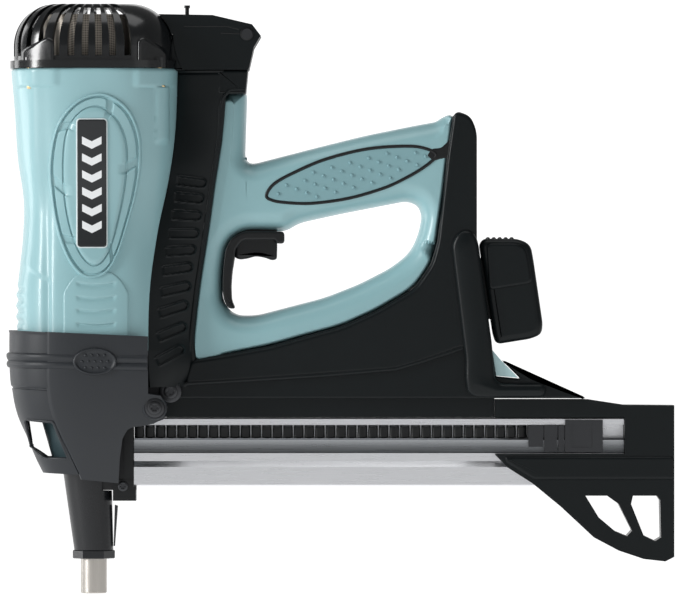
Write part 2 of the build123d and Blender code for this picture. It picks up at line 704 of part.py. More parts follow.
with BuildPart() as magazine_bracket:
    block(12.8, 28, -11.5, 11.5, 61, 74.6)
    block(12, 29, -8.3, 8.3, 67.7, 75, mode=Mode.SUBTRACT)
    block(26.4, 29, -12, 12, 70.6, 75, mode=Mode.SUBTRACT)
    plate_pair([(19.9, 74), (23.4, 70), (26.4, 74), (26.4, 110), (19.9, 110)], 8.3, 10.4)
    pin(1.6, 19.1, 71.2, -12, 12, mode=Mode.SUBTRACT)
save(magazine_bracket, "magazine_bracket")

with BuildPart() as bracket_screws:
    for low, high in ((-13.2, -11.5), (11.5, 13.2)):
        pin(3.2, 19.1, 71.2, low, high)
    for low, high in ((-11.5, -8.4), (8.4, 11.5)):
        pin(1.55, 19.1, 71.2, low, high)
save(bracket_screws, "bracket_screws")
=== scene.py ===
import bmesh
import bpy
import numpy as np
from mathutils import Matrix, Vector


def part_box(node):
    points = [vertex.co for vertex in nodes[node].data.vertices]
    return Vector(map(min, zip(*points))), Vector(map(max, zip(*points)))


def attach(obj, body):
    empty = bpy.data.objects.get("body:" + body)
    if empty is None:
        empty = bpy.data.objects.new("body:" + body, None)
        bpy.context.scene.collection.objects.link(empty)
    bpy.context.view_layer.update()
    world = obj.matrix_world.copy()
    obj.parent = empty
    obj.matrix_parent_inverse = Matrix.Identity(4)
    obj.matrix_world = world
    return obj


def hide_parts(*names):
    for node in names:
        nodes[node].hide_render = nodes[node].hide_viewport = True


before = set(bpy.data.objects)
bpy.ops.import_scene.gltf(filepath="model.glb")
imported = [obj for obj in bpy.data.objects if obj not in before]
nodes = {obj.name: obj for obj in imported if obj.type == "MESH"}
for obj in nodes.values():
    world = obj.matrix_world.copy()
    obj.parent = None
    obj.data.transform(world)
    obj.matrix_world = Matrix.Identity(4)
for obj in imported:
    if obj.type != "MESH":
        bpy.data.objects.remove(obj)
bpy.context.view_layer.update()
scene = bpy.context.scene


# shader maths

class Amount:
    # a socket that can be added to, multiplied and compared like a number
    def __init__(self, finish, socket):
        self.finish = finish
        self.socket = socket

    def worked(self, operation, first, second=None):
        return self.finish.node("ShaderNodeMath", {"operation": operation}, {0: first, 1: second})

    def __add__(self, other):
        return self.worked("ADD", self, other)

    def __radd__(self, other):
        return self.worked("ADD", other, self)

    def __sub__(self, other):
        return self.worked("SUBTRACT", self, other)

    def __rsub__(self, other):
        return self.worked("SUBTRACT", other, self)

    def __mul__(self, other):
        return self.worked("MULTIPLY", self, other)

    def __rmul__(self, other):
        return self.worked("MULTIPLY", other, self)

    def __gt__(self, other):
        return self.worked("GREATER_THAN", self, other)

    def __lt__(self, other):
        return self.worked("LESS_THAN", self, other)

    def __mod__(self, other):
        return self.worked("FLOORED_MODULO", self, other)

    def __abs__(self):
        return self.worked("ABSOLUTE", self)


class Finish:
    # one material: node() adds any node, and set() fills the shader's own sockets
    def __init__(self, name):
        self.material = bpy.data.materials.new(name)
        self.material.use_nodes = True
        self.tree = self.material.node_tree
        self.shader = self.tree.nodes["Principled BSDF"]
        self.place = self.node("ShaderNodeTexCoord", {}, {}, "Object")

    def feed(self, socket, value):
        if isinstance(value, Amount):
            self.tree.links.new(value.socket, socket)
        elif value is not None:
            socket.default_value = value

    def node(self, kind, settings, inputs, output=0):
        made = self.tree.nodes.new(kind)
        for key, value in settings.items():
            setattr(made, key, value)
        for key, value in inputs.items():
            self.feed(made.inputs[key], value)
        return Amount(self, made.outputs[output])

    def set(self, **values):
        for key, value in values.items():
            self.feed(self.shader.inputs[key.replace("_", " ")], value)

    def noise(self, size, detail=2.0, stretch=(1, 1, 1)):
        # size is the width of a blotch in millimetres
        place = self.node("ShaderNodeMapping", {}, {"Vector": self.place, "Scale": stretch})
        return self.node("ShaderNodeTexNoise", {}, {"Vector": place, "Scale": 1000 / size, "Detail": detail})

    def mixed(self, share, first, second):
        return self.node("ShaderNodeMix", {"data_type": "RGBA"}, {0: share, 6: first, 7: second}, 2)

    def axes(self):
        parts = self.node("ShaderNodeSeparateXYZ", {}, {0: self.place})
        return [Amount(self, parts.socket.node.outputs[n]) for n in range(3)]

    def bump(self, height, depth):
        # depth in millimetres
        return self.node("ShaderNodeBump", {}, {"Height": height, "Distance": depth / 1000, "Strength": 1.0})


def shade(colour, factor):
    return (colour[0] * factor, colour[1] * factor, colour[2] * factor, 1)


def mouldedPlastic(name, colour, roughness, grain, depth, drift=0.06, coat=0.0, gloss=0.5):
    # soft blotches change the colour a little, a fine grain changes roughness and height
    made = Finish(name)
    cloud = made.noise(45, 2)
    speck = made.noise(grain, 3)
    made.set(Base_Color=made.mixed(cloud, shade(colour, 1 - drift), shade(colour, 1 + drift)),
             Roughness=roughness + 0.12 * (speck - 0.5) + 0.05 * (cloud - 0.5),
             Coat_Weight=coat, Coat_Roughness=0.12, Specular_IOR_Level=gloss,
             Normal=made.bump(speck, depth))
    return made.material


def brushedMetal(name, colour, roughness, stretch, depth, drift=0.16):
    # noise stretched along the brushing gives fine lines in colour, roughness and height
    made = Finish(name)
    lines = made.noise(0.5, 4, stretch)
    cloud = made.noise(30, 2)
    made.set(Base_Color=made.mixed(0.6 * lines + 0.4 * cloud, shade(colour, 1 - drift), shade(colour, 1 + drift)),
             Metallic=1.0, Roughness=roughness + 0.16 * (lines - 0.5),
             Normal=made.bump(lines, depth))
    return made.material


def railMetal(name):
    # lines along X; painted shade darkens the sunk groove, most at its lower edge, and the rest stays bright
    made = Finish(name)
    z = made.axes()[2]
    lines = made.noise(0.5, 4, (0.015, 1, 1))
    cloud = made.noise(30, 2, (0.2, 1, 1))
    # painted shade: a dark colour laid into the recessed groove, strongest at its lower edge
    grooveShade = (z > 0.0923) * (z < 0.1018) * (1 - 45 * abs(z - 0.0923))
    bright = made.mixed(0.6 * lines + 0.4 * cloud, (0.62, 0.63, 0.66, 1), (0.86, 0.87, 0.89, 1))
    made.set(Base_Color=made.mixed(0.25 * (grooveShade > 0) + 0.6 * grooveShade, bright, (0.10, 0.115, 0.125, 1)), Metallic=1.0,
             Roughness=0.30 + 0.22 * (lines - 0.5), Normal=made.bump(lines, 0.012))
    return made.material


def wovenMesh(name, light, dark, pitch):
    # crossed wires: a wave in X plus one in Z and one in Y, with dark gaps between them
    made = Finish(name)
    x, y, z = made.axes()
    weave = abs((x + y) % (pitch / 1000) - pitch / 2000) + abs((z + y) % (pitch / 1000) - pitch / 2000)
    wire = weave * (1000 / pitch)
    made.set(Base_Color=made.mixed(wire, dark, light), Metallic=0.6, Roughness=0.35 + 0.2 * wire,
             Normal=made.bump(wire, 0.15))
    return made.material


def badgePrint(name, dark, light):
    # plain chevrons: a band is light where height plus half the distance from the middle falls in its share of a step
    made = Finish(name)
    x, _, z = made.axes()
    across = abs(x - badge["middle"] / 1000)
    climb = z - 0.5 * across - (badge["low"] + badge["margin"]) / 1000
    band = (climb % (badge["step"] / 1000)) < (badge["step"] * 0.45 / 1000)
    inside = (across < 0.0064) * (climb > 0) * (climb < badge["bands"] * badge["step"] / 1000)
    speck = made.noise(0.8, 2)
    made.set(Base_Color=made.mixed(band * inside, dark, light), Roughness=0.34 + 0.1 * (speck - 0.5),
             Normal=made.bump(band * inside, 0.08))
    return made.material


# surfaces

def around(sides):
    # even angles of a whole turn
    return np.linspace(0, 2 * np.pi, sides, endpoint=False)


def stacked(*parts):
    # coordinates of any shapes that match, as one array of points
    return np.stack(np.broadcast_arrays(*parts), -1)


def surface(points, joinRows=False, joinColumns=False, caps=False):
    # a grid of rows x columns x 3, four neighbours to a face; a join closes it round, caps fill its end rows
    rows, columns = points.shape[:2]
    row, column = np.meshgrid(np.arange(rows - 1 + joinRows), np.arange(columns - 1 + joinColumns), indexing="ij")
    nextRow, nextColumn = (row + 1) % rows, (column + 1) % columns
    quads = np.stack([row * columns + column, row * columns + nextColumn, nextRow * columns + nextColumn,
                      nextRow * columns + column], -1).reshape(-1, 4)
    ends = [np.arange(columns), np.arange(columns) + (rows - 1) * columns] if caps else []
    return points.reshape(-1, 3), quads, ends


def makePiece(name, surfaces, body, material, stands=(), sharp=38):
    # joins the surfaces into one mesh, merges doubles, turns normals outward and keeps edges above "sharp" degrees
    corners, faces, start = [], [], 0
    for points, quads, ends in surfaces:
        corners.append(points)
        faces += (quads + start).tolist() + [(end + start).tolist() for end in ends]
        start += len(points)
    mesh = bpy.data.meshes.new(name)
    mesh.from_pydata((np.concatenate(corners) / 1000).tolist(), [], faces)
    work = bmesh.new()
    work.from_mesh(mesh)
    bmesh.ops.remove_doubles(work, verts=work.verts, dist=2e-6)
    bmesh.ops.recalc_face_normals(work, faces=work.faces)
    work.to_mesh(mesh)
    work.free()
    mesh.shade_smooth()
    mesh.set_sharp_from_angle(angle=np.radians(sharp))
    mesh.materials.append(material)
    piece = bpy.data.objects.new(name, mesh)
    scene.collection.objects.link(piece)
    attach(piece, body)
    if stands:
        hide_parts(*stands)


def sided(surfaces, side):
    # side -1 keeps the left half as drawn, 1 mirrors it to the right
    return [(points * (1, -side, 1), quads, ends) for points, quads, ends in surfaces]


def makePair(name, surfaces, material, node="", body="tool", sharp=38):
    # the left piece and its mirror image, each standing for its own side's node where one is named
    for sideName, side in (("Left", -1), ("Right", 1)):
        stands = [node + "_" + sideName.lower()] if node else []
        makePiece(name + sideName, sided(surfaces, side), body, material, stands, sharp)


def readTable(rows, at):
    # cubic between the rows of a table, each row's slope taken from its neighbours
    rows = np.array(rows, float)
    x, y = rows[:, 0], rows[:, 1:]
    at = np.asarray(at, float)
    slope = np.gradient(y, x, axis=0)
    n = np.clip(np.searchsorted(x, at, side="right") - 1, 0, len(x) - 2)
    gap = (x[n + 1] - x[n])[..., None]
    t = np.clip((at - x[n])[..., None] / gap, 0, 1)
    value = y[n] * (1 + 2 * t) * (1 - t) ** 2 + y[n + 1] * t * t * (3 - 2 * t)
    value = value + gap * (slope[n] * t * (1 - t) ** 2 + slope[n + 1] * t * t * (t - 1))
    return np.moveaxis(value, -1, 0)


def ease(x, low, high):
    # 0 at low, 1 at high, an even S between them
    t = np.clip((x - low) / (high - low), 0, 1)
    return t * t * (3 - 2 * t)


def evenly(line, count, closed=True):
    # the same line with its points an equal length apart
    whole = np.concatenate([line, line[:1]]) if closed else line
    reach = np.concatenate([[0], np.cumsum(np.linalg.norm(np.diff(whole, axis=0), axis=1))])
    at = np.linspace(0, reach[-1], count + closed)[:count]
    return np.stack([np.interp(at, reach, whole[:, k]) for k in range(whole.shape[1])], 1)


def softLoop(corners, reach, count):
    # each corner becomes a quadratic curve that begins and ends "reach" from it, or half way to its neighbour
    corners = np.array(corners, float)
    back = np.roll(corners, 1, 0) - corners
    ahead = np.roll(corners, -1, 0) - corners
    lengthBack = np.linalg.norm(back, axis=1)
    lengthAhead = np.linalg.norm(ahead, axis=1)
    cut = np.minimum(reach, 0.5 * np.minimum(lengthBack, lengthAhead))
    first = (corners + back * (cut / lengthBack)[:, None])[:, None]
    last = (corners + ahead * (cut / lengthAhead)[:, None])[:, None]
    t = np.linspace(0, 1, 9)[None, :, None]
    curve = (1 - t) ** 2 * first + 2 * t * (1 - t) * corners[:, None] + t * t * last
    return evenly(curve.reshape(-1, 2), count)


def curvedLoop(knots, perSpan):
    # a closed cubic through the knots, each knot's slope half the step between its neighbours
    knots = np.array(knots, float)
    slope = (np.roll(knots, -1, 0) - np.roll(knots, 1, 0)) / 2
    after, slopeAfter = np.roll(knots, -1, 0), np.roll(slope, -1, 0)
    t = (np.arange(perSpan) / perSpan)[None, :, None]
    curve = (knots[:, None] * (1 + 2 * t) * (1 - t) ** 2 + after[:, None] * t * t * (3 - 2 * t)
             + slope[:, None] * t * (1 - t) ** 2 + slopeAfter[:, None] * t * t * (t - 1))
    return curve.reshape(-1, 2)


def outward(loop, smooth=2):
    # unit normals of a closed loop that point out of it, averaged with their neighbours
    ahead = np.roll(loop, -1, 0) - np.roll(loop, 1, 0)
    area = np.sum(loop[:, 0] * np.roll(loop[:, 1], -1) - np.roll(loop[:, 0], -1) * loop[:, 1])
    normal = np.stack([ahead[:, 1], -ahead[:, 0]], 1) * np.sign(area)
    normal /= np.linalg.norm(normal, axis=1)[:, None] + 1e-9
    for _ in range(smooth):
        normal = (np.roll(normal, 1, 0) + 2 * normal + np.roll(normal, -1, 0)) / 4
    return normal / np.linalg.norm(normal, axis=1)[:, None]


def plate(loop, faceY, backY, edge, backEdge=0.0, dome=0.0, steps=6, smooth=2):
    # rows of one outline from backY to faceY: an edge is a quarter circle, drawn in by edge * (1 - cos a) while
    # the depth changes by edge * (1 - sin a); dome lifts the middle of the face
    normal = outward(loop, smooth)
    toBack = np.sign(backY - faceY)
    a = np.linspace(0, np.pi / 2, steps)
    inset = np.concatenate([backEdge * (1 - np.cos(a[::-1])), edge * (1 - np.cos(a)), [edge + 0.35]])
    y = np.concatenate([backY - toBack * backEdge * (1 - np.sin(a[::-1])), faceY + toBack * edge * (1 - np.sin(a)),
                        [faceY - toBack * dome * 0.1]])
    flat = loop[None] - normal[None] * inset[:, None, None]
    points = stacked(flat[..., 0], y[:, None], flat[..., 1])
    if backEdge == 0:
        points = np.concatenate([points[:1], points[steps:]])
    return surface(points, joinColumns=True, caps=True)


def tube(path, radius, sides=10):
    # a circle carried along an open path in three dimensions
    ahead = np.gradient(path, axis=0)
    ahead /= np.linalg.norm(ahead, axis=1)[:, None]
    across = np.cross(ahead, (0, 1, 0))
    across /= np.linalg.norm(across, axis=1)[:, None] + 1e-9
    other = np.cross(across, ahead)
    a = around(sides)[None, :, None]
    points = path[:, None] + radius * (np.cos(a) * across[:, None] + np.sin(a) * other[:, None])
    return surface(points, joinColumns=True, caps=True)


def loopTube(path, radius, sides=10):
    # the same for a closed path
    ahead = np.roll(path, -1, 0) - np.roll(path, 1, 0)
    ahead /= np.linalg.norm(ahead, axis=1)[:, None]
    across = np.cross(ahead, (0, 1, 0))
    other = np.cross(across, ahead)
    a = around(sides)[None, :, None]
    points = path[:, None] + radius * (np.cos(a) * across[:, None] + np.sin(a) * other[:, None])
    return surface(points, joinRows=True, joinColumns=True)


def walled(points, wall):
    # a thick sheet: the grid, and the same grid moved by the wall along its normals towards the middle plane,
    # joined at all four sides
    alongRows, alongColumns = np.gradient(points, axis=(0, 1))
    normal = np.cross(alongRows, alongColumns)
    normal /= np.linalg.norm(normal, axis=2)[..., None] + 1e-9
    toMiddle = (points[..., 0].mean(), 0, 0) - points * (1, 1, 0)
    inner = points + normal * wall * np.sign(np.sum(normal * toMiddle))
    ring = np.concatenate([points, inner[:, ::-1]], 1)
    rows, columns = points.shape[:2]
    body = surface(ring, joinColumns=True)
    k = np.arange(columns - 1)
    lid = np.stack([k, k + 1, 2 * columns - 2 - k, 2 * columns - 1 - k], 1)
    return body[0], np.concatenate([body[1], lid, lid + (rows - 1) * 2 * columns]), []


def lathe(profile, centreX, centreZ, sides=40):
    # a profile of (radius, y) pairs turned about an axis along Y
    profile = np.array(profile, float)
    a = around(sides)[None]
    r, y = profile[:, :1], profile[:, 1:]
    points = stacked(centreX + r * np.cos(a), -y, centreZ + r * np.sin(a))
    return surface(points, joinColumns=True, caps=True)


def squared(angle, a, b, n):
    # radius of a squared-off ellipse: (|cos / a| ** n + |sin / b| ** n) ** (-1 / n)
    return (np.abs(np.cos(angle) / a) ** n + np.abs(np.sin(angle) / b) ** n) ** (-1 / n)


# barrel shapes that several pieces share

barrel = {
    "sections": [(160, -50.2, 54, 49), (200, -50.2, 52, 48), (233, -46.7, 50, 46.5), (257, -46, 51.5, 46.5),
                 (285, -49.8, 55, 49.5), (320, -52.2, 56.5, 52.5), (345, -54.4, 57, 54)],
    # a section's row is height, front, rear, half width
    "parting": [(158, 36.7), (170, 36.7), (200, 37.7), (239.5, 43), (271.2, 49.6), (297, 53.5), (346, 55.6)],
    "squareness": 2.6, "wall": 2.4, "low": 160, "high": 344.8,
}


def flank(x, z):
    # half width of the barrel: b * (1 - |(x - middle) / a| ** squareness) ** (1 / squareness)
    front, rear, half = readTable(barrel["sections"], z)
    middle, a = (front + rear) / 2, (rear - front) / 2
    u = np.clip(np.abs(x - middle) / a, 0, 0.995)
    return half * (1 - u ** barrel["squareness"]) ** (1 / barrel["squareness"])


def draped(x, z, lift):
    # points on the left flank, lifted off it
    return stacked(x, -(flank(x, z) + lift), z)


def barrelGrid(rows, columns):
    # heights by angles, from one parting line round the front to the other, the radius that of a squared-off
    # ellipse plus a lift
    z = np.linspace(barrel["low"], barrel["high"], rows)
    front, rear, half = readTable(barrel["sections"], z)
    middle, a = (front + rear) / 2, (rear - front) / 2
    edge = readTable(barrel["parting"], z)[0]
    first = np.arctan2(flank(edge, z), edge - middle)
    angle = first[:, None] + (2 * np.pi - 2 * first)[:, None] * np.linspace(0, 1, columns)[None]
    cosine, sine = np.cos(angle), np.sin(angle)
    r = squared(angle, a[:, None], half[:, None], barrel["squareness"])
    x = middle[:, None] + r * cosine
    y = -r * sine
    zz = z[:, None]
    side = np.abs(sine)
    # corner bosses above 333, a half-round boss under the rear one, soft flutes down the front and a step low down
    lift = 1.3 * ease(zz, 332.4, 333.4) * (ease(-x, 20, 25) + ease(x, 26, 31)) * ease(side, 0.3, 0.6)
    lift = lift + 2.4 * np.sqrt(np.clip(1 - ((x - 45.5) / 4.6) ** 2, 0, 1)) * ease(zz, 294, 299) * (zz < 332.6)
    lift = lift + 1.5 * np.exp(-((x + 38) / 4.5) ** 2) * ease(zz, 215, 300) * side
    lift = lift - 1.5 * np.exp(-((x + 30) / 3) ** 2) * ease(-zz, -330, -200) * side
    lift = lift - 1.2 * ease(-x, 26.5, 29.5) * ease(-x, -47, -38) * ease(-(zz + 0.55 * x), -192, -188) * side
    ridges = 0.7 * np.cos((zz - 175) * 2 * np.pi / 7.2)
    lift = lift + ridges * ease(-x, 44, 48) * ease(zz, 173, 178) * ease(-zz, -206, -200)
    lift = lift - 1.2 * ease(zz, 343.4, 344.8)
    return stacked(x + lift * cosine, y - lift * sine, zz)


# finishes

badge = {"left": -9.4, "right": 9.6, "middle": 0.1, "low": 227.8, "high": 311, "corner": 2.2, "step": 11.0,
         "bands": 6, "margin": 9}

colours = {
    "teal": (0.26, 0.45, 0.48), "tealPad": (0.20, 0.36, 0.39), "tealGrille": (0.42, 0.60, 0.62),
    "black": (0.0050, 0.0072, 0.0080), "trim": (0.0050, 0.0060, 0.0068), "skirt": (0.016, 0.019, 0.023),
    "cast": (0.010, 0.011, 0.013), "nails": (0.055, 0.055, 0.058),
}

finishes = {
    "teal": mouldedPlastic("tealShell", colours["teal"], 0.36, 0.9, 0.012, 0.035, 0.25),
    "tealPad": mouldedPlastic("tealPad", colours["tealPad"], 0.55, 0.7, 0.03, 0.05),
    "tealGrille": mouldedPlastic("tealGrille", colours["tealGrille"], 0.45, 0.8, 0.015),
    "black": mouldedPlastic("blackShell", colours["black"], 0.34, 0.55, 0.020, 0.12, 0, 0.2),
    "gloss": mouldedPlastic("blackCap", colours["trim"], 0.22, 1.2, 0.010, 0.1, 0.4),
    "trim": mouldedPlastic("blackTrim", colours["trim"], 0.34, 0.8, 0.014, 0.12, 0, 0.35),
    "skirt": mouldedPlastic("darkSkirt", colours["skirt"], 0.47, 0.6, 0.018, 0.08, 0, 0.4),
    "inner": mouldedPlastic("innerCasting", (0.035, 0.06, 0.068), 0.45, 0.8, 0.03, 0.15, 0, 0.4),
    "cast": mouldedPlastic("blackCast", colours["cast"], 0.30, 0.8, 0.03, 0.15, 0, 0.4),
    "fastener": brushedMetal("darkFastener", (0.06, 0.062, 0.066), 0.36, (1, 1, 1), 0.01),
    "muzzle": brushedMetal("muzzleSteel", (0.50, 0.475, 0.44), 0.34, (1, 1, 0.05), 0.02),
    "steel": brushedMetal("brightSteel", (0.56, 0.56, 0.56), 0.30, (1, 1, 0.1), 0.012),
    "nails": brushedMetal("nailSteel", colours["nails"], 0.38, (1, 1, 0.1), 0.02),
    "railBands": railMetal("railBands"),
    "cylinder": brushedMetal("castAluminium", (0.62, 0.63, 0.65), 0.42, (1, 1, 1), 0.03),
    "brass": brushedMetal("brass", (0.72, 0.55, 0.30), 0.28, (1, 1, 0.3), 0.01),
    "screen": wovenMesh("filterMesh", (0.62, 0.56, 0.48, 1), (0.05, 0.045, 0.04, 1), 1.6),
    "rubber": mouldedPlastic("blackRubber", (0.016, 0.016, 0.017), 0.7, 0.6, 0.04),
    "motor": brushedMetal("motorCan", (0.33, 0.33, 0.34), 0.35, (1, 1, 0.05), 0.01),
    "fan": mouldedPlastic("fanPlastic", (0.06, 0.06, 0.065), 0.45, 0.8, 0.02),
    "can": brushedMetal("fuelCan", (0.6, 0.61, 0.63), 0.25, (0.05, 0.05, 1), 0.008),
    "valve": mouldedPlastic("valvePlastic", (0.7, 0.7, 0.67), 0.4, 0.8, 0.01),
    "board": mouldedPlastic("circuitBoard", (0.02, 0.13, 0.05), 0.4, 0.6, 0.02),
    "badge": badgePrint("badgePlate", (0.008, 0.010, 0.012, 1), (0.78, 0.80, 0.81, 1)),
    "rim": mouldedPlastic("badgeRim", (0.62, 0.70, 0.71), 0.35, 0.8, 0.008),
}

nodeFinish = {
    "gloss": ["head_cap"],
    "black": ["rail_cover", "magazine_tail", "fuel_door", "tail_housing_left", "tail_housing_right"],
    "trim": ["battery_latch", "door_knob", "magazine_bracket"],
    "tealGrille": ["tail_grille"],
    "cast": ["nose_cone", "nose_collar", "nose_guide", "push_lever"],
    "muzzle": ["muzzle_tube"],
    "steel": ["driver_blade", "piston_rings", "fan_shaft", "spark_plug", "nose_spring",
              "trigger_spring"],
    "nails": ["nail_strip"],
    "fastener": ["main_bolt", "skirt_screws", "bracket_screws", "door_hinge_pin", "feeder", "retainer_clip"],
    "cylinder": ["cylinder", "cylinder_base", "cylinder_head", "combustion_chamber", "piston"],
    "brass": ["cap_screws", "battery_contacts"],
    "screen": ["filter_screen"], "rubber": ["bumper"], "motor": ["fan_motor"],
    "fan": ["fan_wheel", "trigger_switch"], "can": ["fuel_cell"], "valve": ["fuel_valve"], "board": ["circuit_board"],
}
for finishName, names in nodeFinish.items():
    for name in names:
        for place in nodes[name].material_slots:
            place.material = finishes[finishName]
print("finishes made")


# barrel

makePiece("barrelShell", [walled(barrelGrid(175, 280), barrel["wall"])], "tool", finishes["teal"],
          ["front_housing"])

medallion = {
    "outer": [(-28.8, 284), (-27.8, 262), (-24, 240), (-17.5, 222), (-9.5, 210.5), (-0.7, 206.8), (9.5, 210.5),
              (17, 222), (23.5, 241), (29.5, 262), (32.7, 283), (31.5, 303), (23.5, 319.5), (8.1, 328.5),
              (-9, 324), (-23, 308)],
    "inner": [(-17.8, 284), (-17.2, 262), (-14, 243), (-9.5, 229), (-4, 220), (2, 216.5), (7.5, 220), (12, 229),
              (16, 244), (20, 264), (21.9, 284), (20.5, 299), (14, 312), (3.5, 318.5), (-7.5, 315), (-15.5, 303)],
    "gaps": [(0.7, 1), (2.55, 1), (14.9, -1), (6.75, 1), (9.9, -1), (12.5, -1)],  # place in spans, slant
    "rim": 2.0, "segments": 1.7, "floor": 0.2, "plateau": 2.2,
}


def medallionGrid(perSpan, steps):
    # rows run from the outer egg to the inner one and on to a middle line; the lift is a rim bead, a low ring with
    # raised segments whose ends are slanted, and a flat plateau
    outer = curvedLoop(medallion["outer"], perSpan)
    inner = curvedLoop(medallion["inner"], perSpan)
    t = np.linspace(0, 1, steps)[:, None]
    flat = outer[None] * (1 - t[..., None]) + inner[None] * t[..., None]
    place = (np.arange(len(outer)) / perSpan)[None]
    lift = medallion["rim"] * ease(t, 0.0, 0.10) - (medallion["rim"] - medallion["floor"]) * ease(t, 0.17, 0.27)
    raised = ease(t, 0.32, 0.38) * (medallion["segments"] - medallion["floor"])
    count = len(medallion["outer"])
    for middle, slant in medallion["gaps"]:
        away = (place - middle - slant * 0.45 * (t - 0.6) + count / 2) % count - count / 2
        raised = raised * ease(np.abs(away), 0.13, 0.19)
    lift = lift + np.maximum(raised, 0) - 0.9 * ease(t, 0.84, 0.87) * ease(-t, -0.97, -0.93)
    lift = lift + (medallion["plateau"] - medallion["segments"]) * ease(t, 0.95, 1.0)
    lift = np.broadcast_to(lift, flat.shape[:2]) - 0.5 * (t < 0.001)
    middleLine = np.stack([np.full(len(inner), 2.0), np.clip(inner[:, 1], 240, 296)], 1)
    s = np.linspace(0, 1, 8)[1:, None, None]
    centre = inner[None] * (1 - s) + middleLine[None] * s
    flat = np.concatenate([flat, centre])
    lift = np.concatenate([lift, np.full(centre.shape[:2], medallion["plateau"])])
    return draped(flat[..., 0], flat[..., 1], lift)


tongue = {"middle": 2.7, "half": 22.3, "top": 213, "low": 166, "lift": 0.9, "smiles": [203, 194, 185.5, 176.5]}


def tongueGrid(rows, columns):
    # an arched tablet: inside the arch the lift rises by an even S, and each groove is a bell across a shallow curve
    z = np.linspace(tongue["low"], tongue["top"] + 2, rows)[:, None]
    x = tongue["middle"] + np.linspace(-tongue["half"] - 2, tongue["half"] + 2, columns)[None]
    u = (x - tongue["middle"]) / tongue["half"]
    arch = tongue["top"] - 17 * np.abs(u) ** 3.2
    inside = ease(arch - z, 0, 1.6) * ease(1 - np.abs(u), 0, 0.08)
    lift = -0.5 + (tongue["lift"] + 0.5) * inside
    for height in tongue["smiles"]:
        v = (x - tongue["middle"]) / 13.8
        off = z - height - 1.9 * v ** 2
        cut = np.where(off > 0, np.exp(-(off / 0.5) ** 2), np.exp(-(off / 2.2) ** 2))
        lift = lift - 1.0 * cut * ease(1 - np.abs(v), 0, 0.25)
    return draped(x, z, lift)


def badgeGrid(grow, lift, rows, columns):
    # a plate with round corners, bent over the barrel's flank: its rim row lies on the flank
    half = (badge["right"] - badge["left"]) / 2 + grow
    low, high = badge["low"] - grow, badge["high"] + grow
    corners = [(badge["middle"] - half, low), (badge["middle"] + half, low), (badge["middle"] + half, high),
               (badge["middle"] - half, high)]
    rim = softLoop(corners, badge["corner"] + grow, columns)
    line = np.stack([np.full(columns, badge["middle"]), np.clip(rim[:, 1], low + half, high - half)], 1)
    s = np.concatenate([[0, 0.0, 0.03, 0.06], np.linspace(0.12, 1, rows)])[:, None, None]
    flat = rim[None] * (1 - s) + line[None] * s
    rise = np.concatenate([[-0.5, lift - 0.25, lift - 0.05], np.full(rows + 1, lift)])[:, None]
    return draped(flat[..., 0], flat[..., 1], rise)


makePair("medallion", [surface(medallionGrid(30, 64), joinColumns=True)], finishes["teal"], sharp=50)
makePair("tongue", [surface(tongueGrid(110, 80))], finishes["teal"], sharp=60)
makePair("badgeRim", [surface(badgeGrid(0.8, 2.9, 6, 200), joinColumns=True)], finishes["rim"])
makePair("badge", [surface(badgeGrid(0, 3.35, 8, 200), joinColumns=True)], finishes["badge"])

cap = {"ears": [[(-46.8, 345.4), (-46.8, 356), (-43, 358.4), (-28.5, 365.4), (-24.5, 363), (-24.5, 345.4)],
                [(50.2, 345.4), (50.2, 355), (46.5, 358.4), (34, 365.4), (30, 363), (30, 345.4)]],
       "tips": [(-40.5, 332.9), (45.6, 332.9)], "front": -18.2, "rear": 18.8, "corner": 34, "half": 51, "stand": 2.2}


def capHalf(x):
    # half width of the cap's crown: level, then a quarter circle at each corner
    past = np.clip(np.maximum(cap["front"] - x, x - cap["rear"]), 0, cap["corner"] - 1)
    return cap["half"] - cap["corner"] + np.sqrt(cap["corner"] ** 2 - past ** 2)


def capEar(outline):
    # a wedge whose face follows the crown, standing a little outside it
    points, quads, ends = plate(softLoop(outline, 2.5, 160), -cap["stand"], 6, 2.0)
    return points - capHalf(points[:, :1]) * (0, 1, 0), quads, ends


def screwTip(x, z):
    # a short round pin under a boss, standing out of the barrel
    a = around(20)[None]
    r = np.array([2.0, 2.3, 2.3])[:, None]
    up = np.array([-1.6, -1.2, 0.6])[:, None]
    y = 0.7 - flank(np.array(x), np.array(z)) + r * np.sin(a)
    return surface(stacked(x + r * np.cos(a), y, z + up), joinColumns=True, caps=True)


makePair("capEars", [capEar(outline) for outline in cap["ears"]], finishes["gloss"])
makePair("screwTips", [screwTip(x, z) for x, z in cap["tips"]], finishes["brass"])
print("barrel made")


# rear covers

